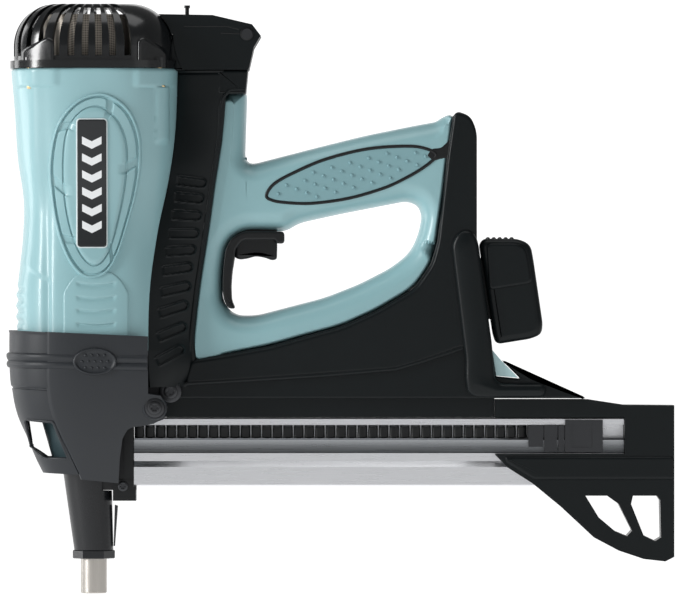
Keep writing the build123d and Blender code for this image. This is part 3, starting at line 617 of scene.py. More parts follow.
cover = {
    "sections": [(136, 38, 59, 19), (141, 37.6, 62.4, 19), (171, 36.8, 63.9, 20), (200, 37.8, 67.1, 20.5),
                 (240, 43.2, 73.3, 21.5), (271, 49.8, 77.6, 22), (300, 53.8, 82.1, 22.5), (322, 55.2, 84, 23.5),
                 (343.7, 55.8, 84.5, 24)],  # height, front x, rear x, rear y
    "slotEnds": [(74.4, 269.7, -7), (72.9, 259.6, -5), (71.2, 248.3, -3), (69.6, 236.8, 0), (67.4, 225.9, 4),
                 (65.3, 214.4, 8), (64.0, 201.8, 13), (62.4, 189.3, 18), (61.2, 175, 23), (59.8, 160.3, 29)],
    "gasket": [(62.8, 150.6), (64.2, 170.3), (67.4, 200), (70.5, 219.8), (73.9, 244.8), (77.9, 271.2), (82.4, 300.3),
               (83.2, 318), (84.6, 325), (89.8, 331.2), (99.4, 331.6)],
    "slotHalf": 3.1, "slotLong": 16, "bead": 1.25, "low": 136, "high": 343.7,
    "shelf": [(82, 328.3), (100.3, 328.3), (101.8, 343.9), (82, 343.9)],
    "filler": [(49, 343.6), (60.4, 343.8), (56.9, 350), (54.9, 356), (53.8, 362), (53.3, 367.6), (49.5, 366)],
    "ear": [(97.6, 334), (97.6, 372), (104.3, 372), (104.6, 365), (100.3, 331.8)],
}


def coverGrid(rows, columns):
    # heights by width: straight from the front edge to the rear one, with ten slots; each slot's distance is to a
    # line that ends in a half circle, and the lift is a bead on that distance and a sunk floor inside it
    z = np.linspace(cover["low"], cover["high"], rows)
    frontX, rearX, rearY = readTable(cover["sections"], z)
    frontY = flank(frontX - 0.3, np.maximum(z, 160)) - 0.6
    t = np.linspace(0, 1, columns)
    x = frontX[:, None] + (rearX - frontX)[:, None] * t
    y = frontY[:, None] + (rearY - frontY)[:, None] * t + 1.6 * np.sin(np.pi * t)[None]
    zz = z[:, None]
    ends = np.array(cover["slotEnds"]).T[:, :, None, None]
    endX, endZ, turn = ends[0] - cover["slotHalf"], ends[1], np.radians(ends[2])
    u = (x - endX) * np.cos(turn) + (zz - endZ) * np.sin(turn)
    v = -(x - endX) * np.sin(turn) + (zz - endZ) * np.cos(turn)
    off = np.where(u < 0, np.abs(v), np.hypot(u, v)) - cover["slotHalf"]
    held = ease(u, -cover["slotLong"] - 1, -cover["slotLong"] + 1)
    lift = np.sum((0.85 * np.exp(-(off / 0.45) ** 2) - 0.7 * ease(-off, 0.2, 1.0)) * held, axis=0)
    lift = lift - 0.8 * np.exp(-((zz - 342) / 0.5) ** 2)
    return stacked(x, -(y + lift), zz)


def coverBack(rows):
    # the strip behind the gasket: a quarter turn of 3 mm and a flat run to the middle
    z = np.linspace(cover["low"], cover["high"], rows)
    _, rearX, rearY = readTable(cover["sections"], z)
    a = np.linspace(0, np.pi / 2, 7)[None]
    x = rearX[:, None] + 3 * np.sin(a)
    y = rearY[:, None] - 3 * (1 - np.cos(a))
    x = np.concatenate([x, rearX[:, None] + 3], 1)
    y = np.concatenate([y, np.full((rows, 1), 0.2)], 1)
    return stacked(x, -y, z[:, None])


def gasketPath(count):
    # the teal handle's edge, 0.4 mm off the cover's side
    line = evenly(np.array(cover["gasket"], float), count, False)
    rearY = readTable(cover["sections"], np.clip(line[:, 1], 141, cover["high"]))[2]
    return stacked(line[:, 0], 0.4 - rearY, line[:, 1])


covers = [walled(coverGrid(420, 56), 2.2), walled(coverBack(90), 2.0), tube(gasketPath(160), cover["bead"]),
          plate(softLoop(cover["shelf"], 1.2, 120), -24, -0.2, 1.6),
          plate(softLoop(cover["ear"], 2.5, 100), -6, -0.2, 1.2),
          plate(softLoop(cover["filler"], 1, 120), -24, -0.2, 1.2)]
makePair("rearCover", covers, finishes["black"], "rear_cover")
print("rear covers made")


# handle

handle = {
    "outline": [(64.6, 151.6), (65.6, 170.3), (68.8, 200), (74.8, 240), (79, 271), (83.6, 300.3), (84.6, 323),
                (86.8, 328.4), (91, 330), (101, 330), (101, 323), (99.6, 281.2), (150, 294.2), (180, 301.6),
                (215, 308.6), (227, 310.6), (236.6, 316), (235, 300), (232.5, 286), (226, 229), (222, 216),
                (211, 200.5), (187, 186.2), (163.5, 175.6), (138, 168.8), (116.4, 162.6), (90, 157.4)],
    "mouth": [(88.2, 187.4), (84.7, 195), (85.6, 216), (89, 231), (99, 238.4), (127, 238.4), (135, 243.6),
              (160, 249.2), (205.8, 258.1), (213.5, 255.5), (216.2, 248), (213.5, 235), (208, 224), (196, 214.3),
              (175, 203.5), (152, 194.5), (107, 182.8), (95, 183)],
    "outlineMarks": [(64.6, 154), (68.8, 200), (76, 252), (81.6, 286), (90.5, 287), (100, 287), (106, 283.4),
                     (140, 291.6), (180, 301.6), (235.8, 314), (232.5, 286), (226, 229), (200, 193.6), (150, 172),
                     (105, 160.5)],
    "mouthMarks": [(90, 185.3), (84.8, 198), (86.5, 221), (89.5, 231.5), (93.5, 235.5), (101, 238.4), (107, 238.4),
                   (132, 241.5), (175, 252.2), (211, 257), (215.8, 251), (215.5, 240.5), (196, 214.3), (152, 194.5),
                   (115, 184.8)],
    "neckLow": 287, "half": 18, "round": 12.5, "frontRound": 3.0,
}


def runs(loop, marks, perRun):
    # the loop cut at its points nearest the marks, each run divided evenly into the same number of steps
    start = np.argmin(np.linalg.norm(loop - np.array(marks[0]), axis=1))
    loop = np.roll(loop, -start, 0)
    loop = np.concatenate([loop, loop[:1]])
    reach = np.concatenate([[0], np.cumsum(np.linalg.norm(np.diff(loop, axis=0), axis=1))])
    near = np.argmin(np.linalg.norm(loop[None] - np.array(marks, float)[:, None], axis=2), axis=1)
    near[0] = 0
    stops = np.append(reach[near], reach[-1])
    at = (stops[:-1, None] + np.diff(stops)[:, None] * (np.arange(perRun) / perRun)[None]).ravel()
    return np.stack([np.interp(at, reach, loop[:, k]) for k in (0, 1)], 1)


def rounding(distance, radius):
    # height of a quarter circle over that distance from its edge, level beyond its radius
    return np.sqrt(np.clip(1 - (1 - np.minimum(distance / radius, 1)) ** 2, 0, 1))


def distanceTo(points, loop):
    # shortest way from each point of a grid to a closed line's segments, and that segment's place on the line
    start, step = loop, np.roll(loop, -1, 0) - loop
    length = np.sum(step ** 2, axis=1)

    def oneRow(row):
        away = row[:, None] - start[None]
        t = np.clip(np.sum(away * step[None], axis=2) / length[None], 0, 1)
        apart = np.linalg.norm(away - t[..., None] * step[None], axis=2)
        return apart.min(1), apart.argmin(1)

    found = [oneRow(row) for row in points]
    return np.stack([apart for apart, place in found]), np.stack([place for apart, place in found])


def handleHeight(flat, outline, mouth):
    # half thickness: half * rounding from the outline * rounding from the mouth; the sides that lie under the
    # covers and the tail, the front one and the rear one below the grip, have a small radius
    fromOuter, near = distanceTo(flat, outline)
    fromInner = distanceTo(flat, mouth)[0]
    at = outline[near]
    front = ease(87 - at[..., 0], 0, 2)
    seam = np.maximum(ease(at[..., 0] - 0.11 * (at[..., 1] - 300), 229, 232) * (at[..., 1] > 230),
                      ease(-(at[..., 1] - 151 - 0.42 * np.maximum(at[..., 0] - 80, 0)), -14, -8) * (at[..., 1] < 235))
    hidden = np.clip(np.maximum(front, seam), 0, 1)
    radius = handle["round"] + (handle["frontRound"] - handle["round"]) * hidden
    return handle["half"] * rounding(fromOuter, radius) * rounding(fromInner, handle["round"])


def closedHalf(flat, height, closeRows):
    # the left face of a half, and its flat face 0.02 mm off the middle plane, as one closed shape
    front = stacked(flat[..., 0], -np.maximum(height, 0) - 0.12, flat[..., 1])
    back = front[:, ::-1] * (1, 0, 1) - (0, 0.02, 0)
    back = np.concatenate([back[:, ::3], back[:, -1:]], 1)
    return surface(np.concatenate([front, back], 1), joinRows=closeRows, joinColumns=True, caps=not closeRows)


def handleGrids(perRun, steps):
    # a ring between the outline, cut off level under the neck, and the mouth; and the neck, as level rows across it
    outline = softLoop(handle["outline"], 9, 1400)
    outline = outline + outward(outline) * 0.9 * (ease(86 - outline[:, 0], 0, 2)
                                                  + ease(outline[:, 0] + outline[:, 1] * 0.02, 231, 236))[:, None]
    mouth = softLoop(handle["mouth"], 7, 900)
    level = outline.copy()
    level[:, 1] = np.where(level[:, 0] < 102, np.minimum(level[:, 1], handle["neckLow"]), level[:, 1])
    outer = runs(level, handle["outlineMarks"], perRun)
    inner = runs(mouth, handle["mouthMarks"], perRun)
    t = (1 - np.cos(np.linspace(0, np.pi, steps))) / 2
    flat = outer[:, None] * (1 - t[None, :, None]) + inner[:, None] * t[None, :, None]
    ring = closedHalf(flat, handleHeight(flat, outline, mouth), True)
    neck = outline[(outline[:, 0] < 102) & (outline[:, 1] > handle["neckLow"] - 3)]
    front, rear = neck[neck[:, 0] < 92], neck[neck[:, 0] >= 92]
    front, rear = front[np.argsort(front[:, 1])], rear[np.argsort(rear[:, 1])]
    z = handle["neckLow"] + (outline[:, 1][outline[:, 0] < 102].max() - handle["neckLow"]) * np.sin(
        np.linspace(0, np.pi / 2, 60))
    left, right = np.interp(z, front[:, 1], front[:, 0]), np.interp(z, rear[:, 1], rear[:, 0])
    flat = stacked(left[:, None] + (right - left)[:, None] * t[None], z[:, None])
    return [ring, closedHalf(flat, handleHeight(flat, outline, mouth), False)]


gripPad = {
    "outline": [(113.9, 262.1), (119.6, 270), (135.5, 278.5), (153.7, 285.9), (178.6, 292.1), (201.3, 294.1),
                (216.1, 293.3), (225.4, 288.4), (217.2, 280.2), (201.3, 271.1), (187.7, 265.5), (167.3, 259.8),
                (144.6, 256.7), (127.6, 257), (117.4, 258.7)],
    "wedge": [(222.5, 292.6), (228.6, 293), (234.6, 298.8), (235.6, 294.4), (234.4, 286.6), (228.6, 285.9),
              (223.4, 284.2), (219, 288)],
    "from": (121.6, 263.0), "first": (12.1, 3.05), "second": (6.6, -2.5), "stud": 1.2, "face": 17.9, "bead": 1.1,
}


def insideLoop(points, loop):
    # true where the angles from a point to the loop's neighbours add up to a whole turn
    way = loop[None] - points[:, None]
    angle = np.arctan2(way[..., 1], way[..., 0])
    step = (np.roll(angle, -1, 1) - angle + np.pi) % (2 * np.pi) - np.pi
    return np.abs(step.sum(1)) > 3


def studs(loop):
    # half spheres on a slanted lattice wherever a stud's centre lies well inside the pad
    n, m = np.meshgrid(np.arange(-20, 21), np.arange(-20, 21), indexing="ij")
    spots = np.array(gripPad["from"]) + n.ravel()[:, None] * gripPad["first"] + m.ravel()[:, None] * gripPad["second"]
    spots = spots[insideLoop(spots, loop)]
    spots = spots[np.linalg.norm(spots[:, None] - loop[None], axis=2).min(1) > 2.7]
    a = around(8)[None, None]
    tilt = np.radians([0, 35, 65, 85])[None, :, None]
    r = gripPad["stud"]
    x = spots[:, 0][:, None, None] + r * np.cos(tilt) * np.cos(a)
    z = spots[:, 1][:, None, None] + r * np.cos(tilt) * np.sin(a)
    points = stacked(x, -gripPad["face"] - 0.5 - r * np.sin(tilt), z)
    count, rings, sides = points.shape[:3]
    quads = surface(points[0], joinColumns=True)[1]
    every = (np.arange(count) * rings * sides)[:, None, None]
    tops = np.arange(sides)[None] + (rings - 1) * sides + every[:, :, 0]
    return points.reshape(-1, 3), (quads[None] + every).reshape(-1, 4), list(tops)


padLoop = evenly(curvedLoop(gripPad["outline"], 40), 360)
padInner = padLoop - outward(padLoop, 6) * 0.9
beadPath = stacked(padLoop[:, 0], -gripPad["face"], padLoop[:, 1])
makePair("handle", handleGrids(32, 60), finishes["teal"], "handle", sharp=60)
pad = [plate(padInner, -gripPad["face"] - 0.5, -gripPad["face"] + 2, 0.5, smooth=6), studs(padInner)]
makePair("gripPad", pad, finishes["tealPad"], "grip_pad")
bead = [loopTube(beadPath, gripPad["bead"]), plate(softLoop(gripPad["wedge"], 2, 120), -18.6, -15, 0.8)]
makePair("gripBead", bead, finishes["trim"])
print("handle made")


# liner and trigger

liner = {"outline": [(125.6, 238.2), (99.2, 238.2), (90.6, 233.9), (86.7, 226.3), (85.4, 215.5), (84.6, 201.9),
                     (85.8, 193.4), (88.4, 187.6), (93.6, 187.2), (91, 193), (90.7, 202), (91.3, 211), (92.6, 219),
                     (93.6, 227), (98.5, 232.6), (119.4, 232.8), (120.4, 230.4), (125.6, 230.2)],
         "bridge": [(92.6, 235), (90.6, 233.2), (87, 226.3), (85.8, 215.5), (85, 201.9), (86.2, 193.6), (88.6, 188.2),
                    (92.8, 187.8), (90.6, 193), (90.3, 202), (90.9, 211), (91.4, 219)],
         "half": 16, "slot": 8.4}
linerLoop = softLoop(liner["outline"], 2.5, 420)
bridgeLoop = softLoop(liner["bridge"], 2, 240)
makePiece("handleLiner", [plate(linerLoop, -liner["half"], -liner["slot"], 1.25, smooth=3),
                          plate(linerLoop, liner["half"], liner["slot"], 1.25, smooth=3),
                          plate(bridgeLoop, -liner["slot"], liner["slot"], 0.02)],
          "tool", finishes["trim"], ["handle_liner"])

trigger = {"outline": [(92.5, 228), (92.6, 221.2), (96, 219.6), (101, 220.2), (106.6, 221.9), (112.5, 221),
                       (117.6, 219.1), (120.7, 219.9), (120.9, 226), (120.9, 247.5), (112, 251.8), (96, 251.8),
                       (92.5, 247.5)],
           "half": 7.9, "edge": 2.4}
blade = plate(softLoop(trigger["outline"], 2.2, 240), -trigger["half"], trigger["half"], trigger["edge"],
              trigger["edge"])
makePiece("triggerBlade", [blade], "trigger_unit", finishes["trim"], ["trigger"])
print("liner and trigger made")


# tail

tail = {
    "column": [(64.2, 153.2), (62.4, 147.5), (60.6, 141), (61.4, 137.4), (100, 140.2), (198.5, 147.3), (214.3, 151.9),
               (243.9, 162.2), (256, 158), (260.6, 163.4), (253.2, 229), (252.2, 231.5), (252.2, 304.1), (248, 314),
               (240, 316.9), (237, 315.2), (233, 287), (226.6, 229.5), (222.6, 216), (211.4, 199.8), (187, 185.6),
               (163.5, 175), (138.2, 168.2), (116.4, 162), (90, 157.2)],
    "frame": [(57, 140.2), (43.4, 139.6), (43.4, 128.5), (324.4, 128.5), (310.2, 133.6), (288, 142.2),
              (276.5, 150.4), (268.7, 153.6), (281.2, 141.2), (264.4, 142.9), (262, 160), (244, 164), (214.3, 154),
              (198.5, 149.5), (100, 142.4), (62, 141)],
    "half": 21, "ridge": [(61.4, 138.3), (100, 140.6), (150, 143.8), (198.5, 147.9), (214.3, 152.4), (243, 161.6)],
    "seam": [(64.6, 152.4), (92, 157.1), (116.6, 161.7), (138.5, 167.9), (163.6, 174.8), (187.2, 185.4),
             (211.4, 199.8), (222.6, 215.9), (226.8, 229.3), (230.6, 256), (233.5, 287), (235.4, 300), (237.6, 314)],
}
guard = {
    "outline": [(235.2, 229), (238.5, 236), (243, 239.3), (248, 238.8), (251.6, 235), (253.2, 229.5), (262, 164.5),
                (264.2, 141), (268, 138.2), (297.3, 138.2), (297.3, 129.3), (252, 129.3), (246, 132), (244.3, 140),
                (244.5, 154)],
}
columnLoop = softLoop(tail["column"], 5, 700)
seam = evenly(np.array(tail["seam"], float), 60, False)
seam = np.stack([readTable(np.column_stack([np.linspace(0, 1, 60), seam]), np.linspace(0, 1, 240))[k]
                 for k in (0, 1)], 1)
frameLoop = softLoop(tail["frame"], 1.6, 700)
guardLoop = softLoop(guard["outline"], 5, 400)
shells = [plate(columnLoop, -tail["half"], -0.1, 2.2, smooth=8), plate(frameLoop, -18.2, -0.1, 1.0, smooth=3),
          tube(stacked(seam[:, 0], -17.6, seam[:, 1]), 1.3),
          tube(np.array([(x, -20.3, z) for x, z in tail["ridge"]], float), 1.3)]
makePair("tailHousing", shells, finishes["black"], "tail_housing")
makePair("tailGuard", [plate(guardLoop, -25.2, -20.5, 3.6, dome=1.5, smooth=8)], finishes["black"],
         "tail_guard")
print("tail made")


# battery

battery = {
    "outline": [(253.9, 229.7), (256.5, 233.4), (279.5, 233.4), (287.6, 229.5), (289.5, 219), (295.6, 177),
                (294.6, 170.6), (287.9, 167.6), (265.1, 164), (262.9, 170.4)],
    "upper": [(258.4, 228.5), (261, 230.4), (278.6, 230.4), (284.4, 227), (286.2, 218), (288.3, 204),
              (260.2, 199.6)],
    "tongue": [(256, 221), (240.8, 218.7), (247.2, 178.4), (262.6, 180.8)],
    "half": 19.8, "upperHalf": 21, "tongueHalf": 14,
}
batteryLoop = softLoop(battery["outline"], 4.5, 400)
upperLoop = softLoop(battery["upper"], 3.5, 300)
pack = [plate(batteryLoop, -battery["half"], battery["half"], 4.6, 4.6, smooth=10),
        plate(upperLoop, -battery["upperHalf"], -15, 1.6, smooth=6),
        plate(upperLoop, battery["upperHalf"], 15, 1.6, smooth=6),
        plate(softLoop(battery["tongue"], 1.5, 120), -battery["tongueHalf"], battery["tongueHalf"], 1, 1)]
makePiece("batteryPack", pack, "battery_unit", finishes["black"], ["battery"])
print("battery made")


# skirt

skirt = {
    "sections": [(60, -20, 16), (70, -27.5, 23), (88, -37.8, 34.5), (104, -44.6, 42.5), (116.4, -50.2, 46.5),
                 (138.3, -54.7, 50.5), (160, -55.6, 52), (178, -55.4, 52.5)],  # height, front, half width
    "crease": [(70, -5.4), (74, -7.4), (80, -9.6), (92.5, -15.4), (113.5, -25.5), (126.2, -28.8), (143, -30.5),
               (178, -30.3)],
    "rear": [(60, 16.5), (75, 17), (89.4, 18), (102.3, 19.9), (108, 23), (110, 26.3), (112.6, 40.4), (115.1, 46.9),
             (122.8, 49.5), (131.3, 44.5), (131.5, 36.8), (178, 36.8)],
    "middle": 2, "squareness": 2.7,
    "wall": 2.4, "seam": 135.7, "screw": (41.1, 122.6),
    "window": [(-44.6, 114.6), (-41, 96.5), (-31.5, 89), (-15.6, 89), (-25.2, 113.4)], "rim": 1.2,
    "bottom": 75.0, "bottomSlope": 0.1, "top": 173.4, "topSlope": 0.045, "frontLow": 80.5, "frontHigh": 173.2,
    "lobe": [(8.1, 44), (8.1, 48.2), (7.7, 48.9), (7.0, 49.1), (6.4, 48.9), (6.1, 48.4), (6.0, 44)],
}


def skirtHalf(x, z):
    # half width of the skirt, level behind its middle: b * (1 - u ** n) ** (1 / n)
    front, half = readTable(skirt["sections"], z)
    u = np.clip((skirt["middle"] - x) / (skirt["middle"] - front), 0, 0.999)
    return half * (1 - u ** skirt["squareness"]) ** (1 / skirt["squareness"]) - 0.0006 * np.clip(x - 2, 0, 60) ** 2


def skirtLine(table, z):
    rows = np.array(table, float)
    return np.interp(z, rows[:, 0], rows[:, 1])


def sideGrid(rows, columns):
    # from the crease to the rear edge, rows from the slanted bottom to the slanted top
    t = np.linspace(0, 1, rows)[:, None]
    c = np.linspace(0, 1, columns)[None]
    z = skirt["bottom"] + 97 * t + 0 * c
    for _ in range(3):
        crease, rear = skirtLine(skirt["crease"], z), skirtLine(skirt["rear"], z)
        x = crease + (rear - crease) * c
        bottom = skirt["bottom"] - skirt["bottomSlope"] * (x + 5)
        top = skirt["top"] - skirt["topSlope"] * (x + 55)
        z = bottom + (top - bottom) * t
    lift = 1.1 - 1.3 * ease(-c, -0.03, 0)
    return stacked(x, -(skirtHalf(x, z) + lift), z)


def frontGrid(rows, columns):
    # round the front between the two creases, by angle, with a ring seam low down
    z = np.linspace(skirt["frontLow"], skirt["frontHigh"], rows)[:, None] + np.zeros((1, columns))
    crease = skirtLine(skirt["crease"], z[:, :1]) + 0.6
    front, half = readTable(skirt["sections"], z)
    first = np.arctan2(skirtHalf(crease, z[:, :1]), crease - skirt["middle"])
    angle = first + (2 * np.pi - 2 * first) * np.linspace(0, 1, columns)[None]
    r = squared(angle, skirt["middle"] - front, half, skirt["squareness"])
    r = r - 1.2 * np.exp(-((z - skirt["seam"]) / 0.8) ** 2) - 0.5 * ease(-z, -135, -134) + 0.4 * ease(z, 171.4, 172.6)
    x = skirt["middle"] + r * np.cos(angle)
    return stacked(x, -r * np.sin(angle), z - skirt["topSlope"] * (x + 55))


def opened(parts, corners):
    # drops the faces whose middle lies on the inner side of every edge of a convex outline, on both halves
    points, quads, ends = parts
    middle = points[quads].mean(1)[:, [0, 2]]
    corners = np.array(corners, float)
    edge = np.roll(corners, -1, 0) - corners
    away = middle[:, None] - corners[None]
    inside = (edge[None, :, 0] * away[..., 1] - edge[None, :, 1] * away[..., 0] > 0).all(1)
    return points, quads[~inside], ends


def windowRim(side):
    # a bead laid on the skirt round its opening
    loop = softLoop(skirt["window"], 1.5, 160)
    path = stacked(loop[:, 0], -side * (skirtHalf(loop[:, 0], loop[:, 1]) - 0.5), loop[:, 1])
    return loopTube(path, skirt["rim"])


belt = {  # the two beads as heights and lifts, low to high
    "heights": [147.6, 147.7, 148.4, 149.6, 150.9, 151.9, 152.4, 153.2, 154.6, 156, 157, 157.6, 157.7],
    "lifts": [-1.5, 0.6, 1.7, 2.3, 2.2, 1.4, 0.8, 1.6, 2.4, 2.5, 1.9, 0.7, -1.5],
    "level": 153.0, "rear": 36.4, "relief": 0.72,
}


def bandGrid(columns):
    # two beads carried round the skirt: the profile's offset is laid along the outward normal of a level section
    height, lift = np.array(belt["heights"]), np.array(belt["lifts"])
    front, half = readTable(skirt["sections"], np.full(columns, belt["level"]))
    first = np.arctan2(half * 0.998, 36.2 - skirt["middle"])
    angle = first + (2 * np.pi - 2 * first) * np.linspace(0, 1, columns)
    r = squared(angle, skirt["middle"] - front, half, skirt["squareness"])
    behind = np.cos(angle) > 0
    y = np.where(behind, half, r * np.abs(np.sin(angle))) * np.sign(np.sin(angle))
    x = np.where(behind, skirt["middle"] + half * np.cos(angle) / np.maximum(np.abs(np.sin(angle)), 0.05),
                 skirt["middle"] + r * np.cos(angle))
    path = stacked(np.minimum(x, belt["rear"]), -y)
    ahead = np.gradient(path, axis=0)
    normal = np.stack([-ahead[:, 1], ahead[:, 0]], 1)
    normal *= np.sign(np.sum(normal * (path - [2, 0]), 1))[:, None]
    normal /= np.linalg.norm(normal, axis=1)[:, None]
    flat = path[None] + normal[None] * (lift[:, None, None] * belt["relief"] + 0.2)
    points = stacked(flat[..., 0], flat[..., 1], height[:, None])
    points[..., 2] -= 0.02 * (points[..., 0] + 55) - 1.0
    return points


oval = {"x": 2.1, "z": 152.9, "long": 14.5, "high": 8.8, "bump": 1.1, "bumpRise": 0.9, "step": 4.2, "rowStep": 4.1}


def ovalPad():
    # a low dome inside a rim, round the oval; rows run from the foot inward
    a = around(96)[None]
    share = np.array([1.0, 1.0, 0.97, 0.92, 0.87, 0.84, 0.8, 0.5, 0.2])[:, None]
    rise = np.array([-1, 2.1, 2.8, 3.05, 2.8, 2.2, 2.0, 2.2, 2.3])[:, None]
    x = oval["x"] + oval["long"] * share * np.cos(a)
    z = oval["z"] + oval["high"] * share * np.sin(a)
    return surface(stacked(x, -(skirtHalf(x, z) + rise), z), joinColumns=True, caps=True)


def padBumps():
    # small half spheres in three rows of four, five and four
    spots = np.array([(dx, oval["rowStep"] * row) for row, count in ((-1, 4), (0, 5), (1, 4))
                      for dx in (np.arange(count) - (count - 1) / 2) * oval["step"]]) + (oval["x"], oval["z"])
    a = around(10)[None, None]
    tilt = np.radians([0, 40, 70, 86])[None, :, None]
    x = spots[:, 0][:, None, None] + oval["bump"] * np.cos(tilt) * np.cos(a)
    z = spots[:, 1][:, None, None] + oval["bump"] * np.cos(tilt) * np.sin(a)
    y = -(skirtHalf(x, z) + 2.1 + oval["bumpRise"] * np.sin(tilt))
    return [surface(points, joinColumns=True, caps=True) for points in stacked(x, y, z)]


lobe = lathe(skirt["lobe"], *skirt["screw"])
makePair("skirtSide", [walled(sideGrid(150, 90), skirt["wall"]), lobe], finishes["skirt"], "skirt_side")
shroud = [opened(walled(frontGrid(180, 260), skirt["wall"]), skirt["window"]), windowRim(-1), windowRim(1)]
makePiece("skirtFront", shroud, "tool", finishes["skirt"], ["skirt_front"])
pads = [ovalPad(), *padBumps()]
makePiece("skirtBand", [walled(bandGrid(300), 0.3), *sided(pads, -1), *sided(pads, 1)], "tool",
          finishes["skirt"], ["skirt_band"])

casting = {"low": 81, "high": 121, "lowRadius": 26, "highRadius": 37.5, "wall": 1.5}


def innerBody():
    # the casting behind the skirt's openings: the front half of a cone that widens upward
    a = np.radians(np.linspace(78, 282, 80))[None]
    z = np.linspace(casting["low"], casting["high"], 40)[:, None]
    share = (z - casting["low"]) / (casting["high"] - casting["low"])
    r = casting["lowRadius"] + (casting["highRadius"] - casting["lowRadius"]) * share
    return walled(stacked(1 + r * np.cos(a), r * np.sin(a), z), casting["wall"])


makePiece("innerBody", [innerBody()], "tool", finishes["inner"])


def screwHead(x, z, face, radius, depth):
    # a round head with a six-pointed recess: rows are rings, and the recess edge is 0.47 of the radius times
    # 1 + 0.16 * cos(6 * angle)
    a = around(96)[None]
    star = 0.47 * radius * (1 + 0.16 * np.cos(6 * a))
    ring = np.array([1, 1, 0.96, 0.88, 0.75, 0, 0, 0, 0, 0])[:, None] * radius
    inner = np.array([0, 0, 0, 0, 0, 1.12, 1.0, 0.97, 0.5, 0.15])[:, None]
    r = ring + inner * star
    y = np.array([3, 0.5, 0.15, 0, -0.1, -0.15, -0.1, depth, depth, depth])[:, None]
    return surface(stacked(x + r * np.cos(a), y - face, z + r * np.sin(a)), joinColumns=True, caps=True)


heads = {  # for each ring x, z, its face's distance from the middle, radius, depth
    "skirt_screws": ("skirtScrews", ((*skirt["screw"], 51.6, 4.4, 2.2), (*skirt["screw"], 50.0, 6.4, 0.3))),
    "main_bolt": ("mainBolt", ((51, 133, 25.6, 4.6, 2.4), (51, 133, 24.6, 7.2, 0.3))),
    "bracket_screws": ("bracketScrews", ((19.4, 70.6, 13.0, 3.4, 1.2),)),
}
for node, (headName, rings) in heads.items():
    turned = [screwHead(*ring) for ring in rings]
    makePiece(headName, sided(turned, -1) + sided(turned, 1), "tool", finishes["fastener"], [node],
              sharp=30)

door = {"pin": (101.1, 367.8), "half": 25.0, "line": 0.35,
        "lines": [[(84, 368.2), (96.5, 367.9)], [(60, 372.6), (88, 372.6), (96, 370.6)]]}
trims = [screwHead(*door["pin"], 25.9, 4.4, 0.4)]
trims += [tube(np.array([(x, -door["half"], z) for x, z in line], float), door["line"]) for line in door["lines"]]
makePair("doorTrim", trims, finishes["trim"], body="door")
print("skirt made")


# magazine

rail = {
    "profile": [(-10.2, 115.6), (10.2, 115.6), (11, 114.8), (11, 71.6), (10.4, 71), (-10.4, 71), (-11, 71.6),
                (-11, 83.2), (-8.0, 87.1), (-8.0, 92.3), (-7.0, 92.9), (-6.6, 97), (-6.8, 101), (-8.4, 102),
                (-4.4, 102), (-4.4, 74), (4.4, 74), (4.4, 113), (-4.4, 113), (-4.4, 111), (-11, 111), (-11, 114.8)],
    # the profile is y, z round the section, with the nail channel inside it
    "from": 26.7, "to": 349, "pitch": 7, "first": 30, "nails": 37,
}
section = np.array(rail["profile"], float)
x = np.array([rail["from"], rail["from"] + 0.3, rail["to"] - 0.3, rail["to"]])[:, None]
extrusion = surface(stacked(x, section[:, 0], section[:, 1]), joinColumns=True, caps=True)
makePiece("magazineRail", [extrusion], "tool", finishes["railBands"], ["magazine_rail"], sharp=20)


def sleeves():
    # rounded sleeves of the collating strip: a superellipse in level section, drawn in at both ends
    a = around(20)[None]
    bend = np.abs(np.cos(a)) ** 0.5 * np.sign(np.cos(a)), np.abs(np.sin(a)) ** 0.5 * np.sign(np.sin(a))
    height = np.array([102.3, 102.6, 104.5, 107.5, 109.2, 109.5])[:, None]
    share = np.array([0.9, 1, 1, 1, 1, 0.9])[:, None]
    one = stacked(3.15 * share * bend[0], -0.6 + 3.5 * share * bend[1], height)
    middle = rail["first"] + rail["pitch"] * np.arange(rail["nails"])
    every = one[None] + middle[:, None, None, None] * (1, 0, 0)
    return [surface(points, joinColumns=True, caps=True) for points in every]


makePiece("nailSleeves", sleeves(), "tool", finishes["trim"])

foot = {"band": [(270.4, 90.3), (270.8, 86.5), (289.5, 75), (381.4, 75), (381.4, 90.3)], "rise": 1.3}
footHalf = -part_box("magazine_tail")[0][1] * 1000
band = plate(softLoop(foot["band"], 1.5, 240), -footHalf - foot["rise"], 2 - footHalf, 1.9, smooth=6)
makePair("footBand", [band], finishes["black"])
print("magazine made")


# studio

backdrop = {"reach": 16000, "wall": 18000, "turn": 500, "high": 11000, "drop": 0.3, "glow": 0.94}


def studioFloor():
    # a level glowing floor that turns up in a quarter circle into a wall far behind the tool
    a = np.linspace(0, np.pi / 2, 24)
    turn = backdrop["turn"]
    y = np.concatenate([[-backdrop["reach"]], backdrop["wall"] - turn + turn * np.sin(a), [backdrop["wall"]]])
    z = np.concatenate([[0], turn - turn * np.cos(a), [backdrop["high"]]]) - backdrop["drop"]
    x = np.linspace(-backdrop["reach"], backdrop["reach"], 3)
    return stacked(x[None], y[:, None], z[:, None])


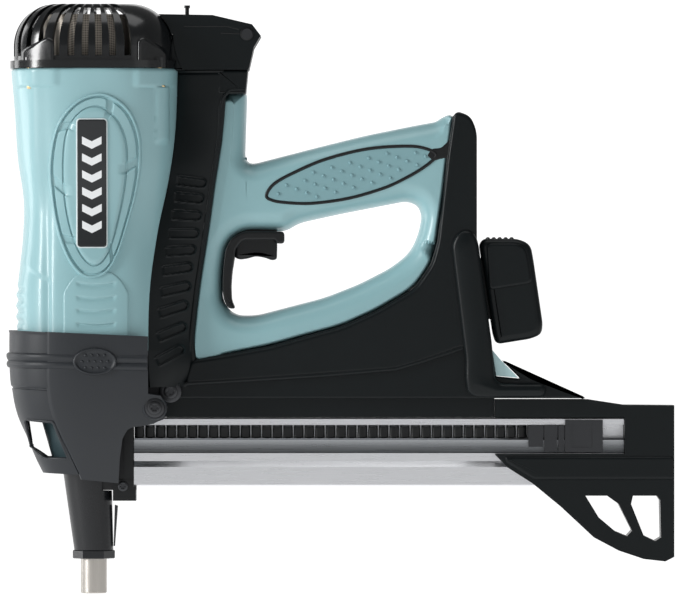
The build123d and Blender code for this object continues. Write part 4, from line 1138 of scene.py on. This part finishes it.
paper = Finish("paperFloor")
paper.set(Base_Color=paper.mixed(paper.noise(400, 2), (0.28, 0.28, 0.28, 1), (0.32, 0.32, 0.32, 1)), Roughness=0.9,
          Emission_Color=(1, 1, 1, 1), Emission_Strength=backdrop["glow"])
floorMesh = bpy.data.meshes.new("studioFloor")
floorPoints, floorQuads, _ = surface(studioFloor())
floorMesh.from_pydata((floorPoints / 1000).tolist(), [], floorQuads[:, ::-1].tolist())
floorMesh.shade_smooth()
floorMesh.materials.append(paper.material)
studio = bpy.data.objects.new("studioFloor", floorMesh)
scene.collection.objects.link(studio)

lamps = [  # name, place, aim, width, height, watts
    ("keyLamp", (-2.0, -0.95, 0.85), (0.05, 0, 0.22), 0.5, 1.3, 42),
    ("fillLamp", (1.5, -1.7, 0.7), (0.15, 0, 0.2), 1.2, 1.2, 1.2),
    ("topLamp", (0.1, -0.2, 1.7), (0.15, 0, 0.2), 1.6, 0.8, 6),
    ("edgeLamp", (-1.2, 0.7, 0.5), (0, 0, 0.25), 0.4, 1.2, 5),
]
for name, place, aim, width, height, watts in lamps:
    light = bpy.data.lights.new(name, "AREA")
    light.shape = "RECTANGLE"
    light.size, light.size_y, light.energy = width, height, watts
    lamp = bpy.data.objects.new(name, light)
    lamp.location = place
    lamp.rotation_euler = (Vector(aim) - Vector(place)).to_track_quat("-Z", "Y").to_euler()
    scene.collection.objects.link(lamp)
world = bpy.data.worlds.new("paleRoom")
world.use_nodes = True
world.node_tree.nodes["Background"].inputs["Color"].default_value = (1, 1, 1, 1)
world.node_tree.nodes["Background"].inputs["Strength"].default_value = 0.15
scene.world = world
scene.view_settings.view_transform = "Standard"

view = {"middle": (0.1619, 0.1944), "wide": 0.4475, "away": 6.0}
camera = bpy.data.objects.new("camera", bpy.data.cameras.new("camera"))
camera.data.sensor_width = 36
camera.data.lens = 36 * view["away"] / view["wide"]
camera.data.clip_end = 50
camera.location = (view["middle"][0], -view["away"], view["middle"][1])
camera.rotation_euler = (np.pi / 2, 0, 0)
scene.collection.objects.link(camera)
scene.camera = camera
print("studio set")
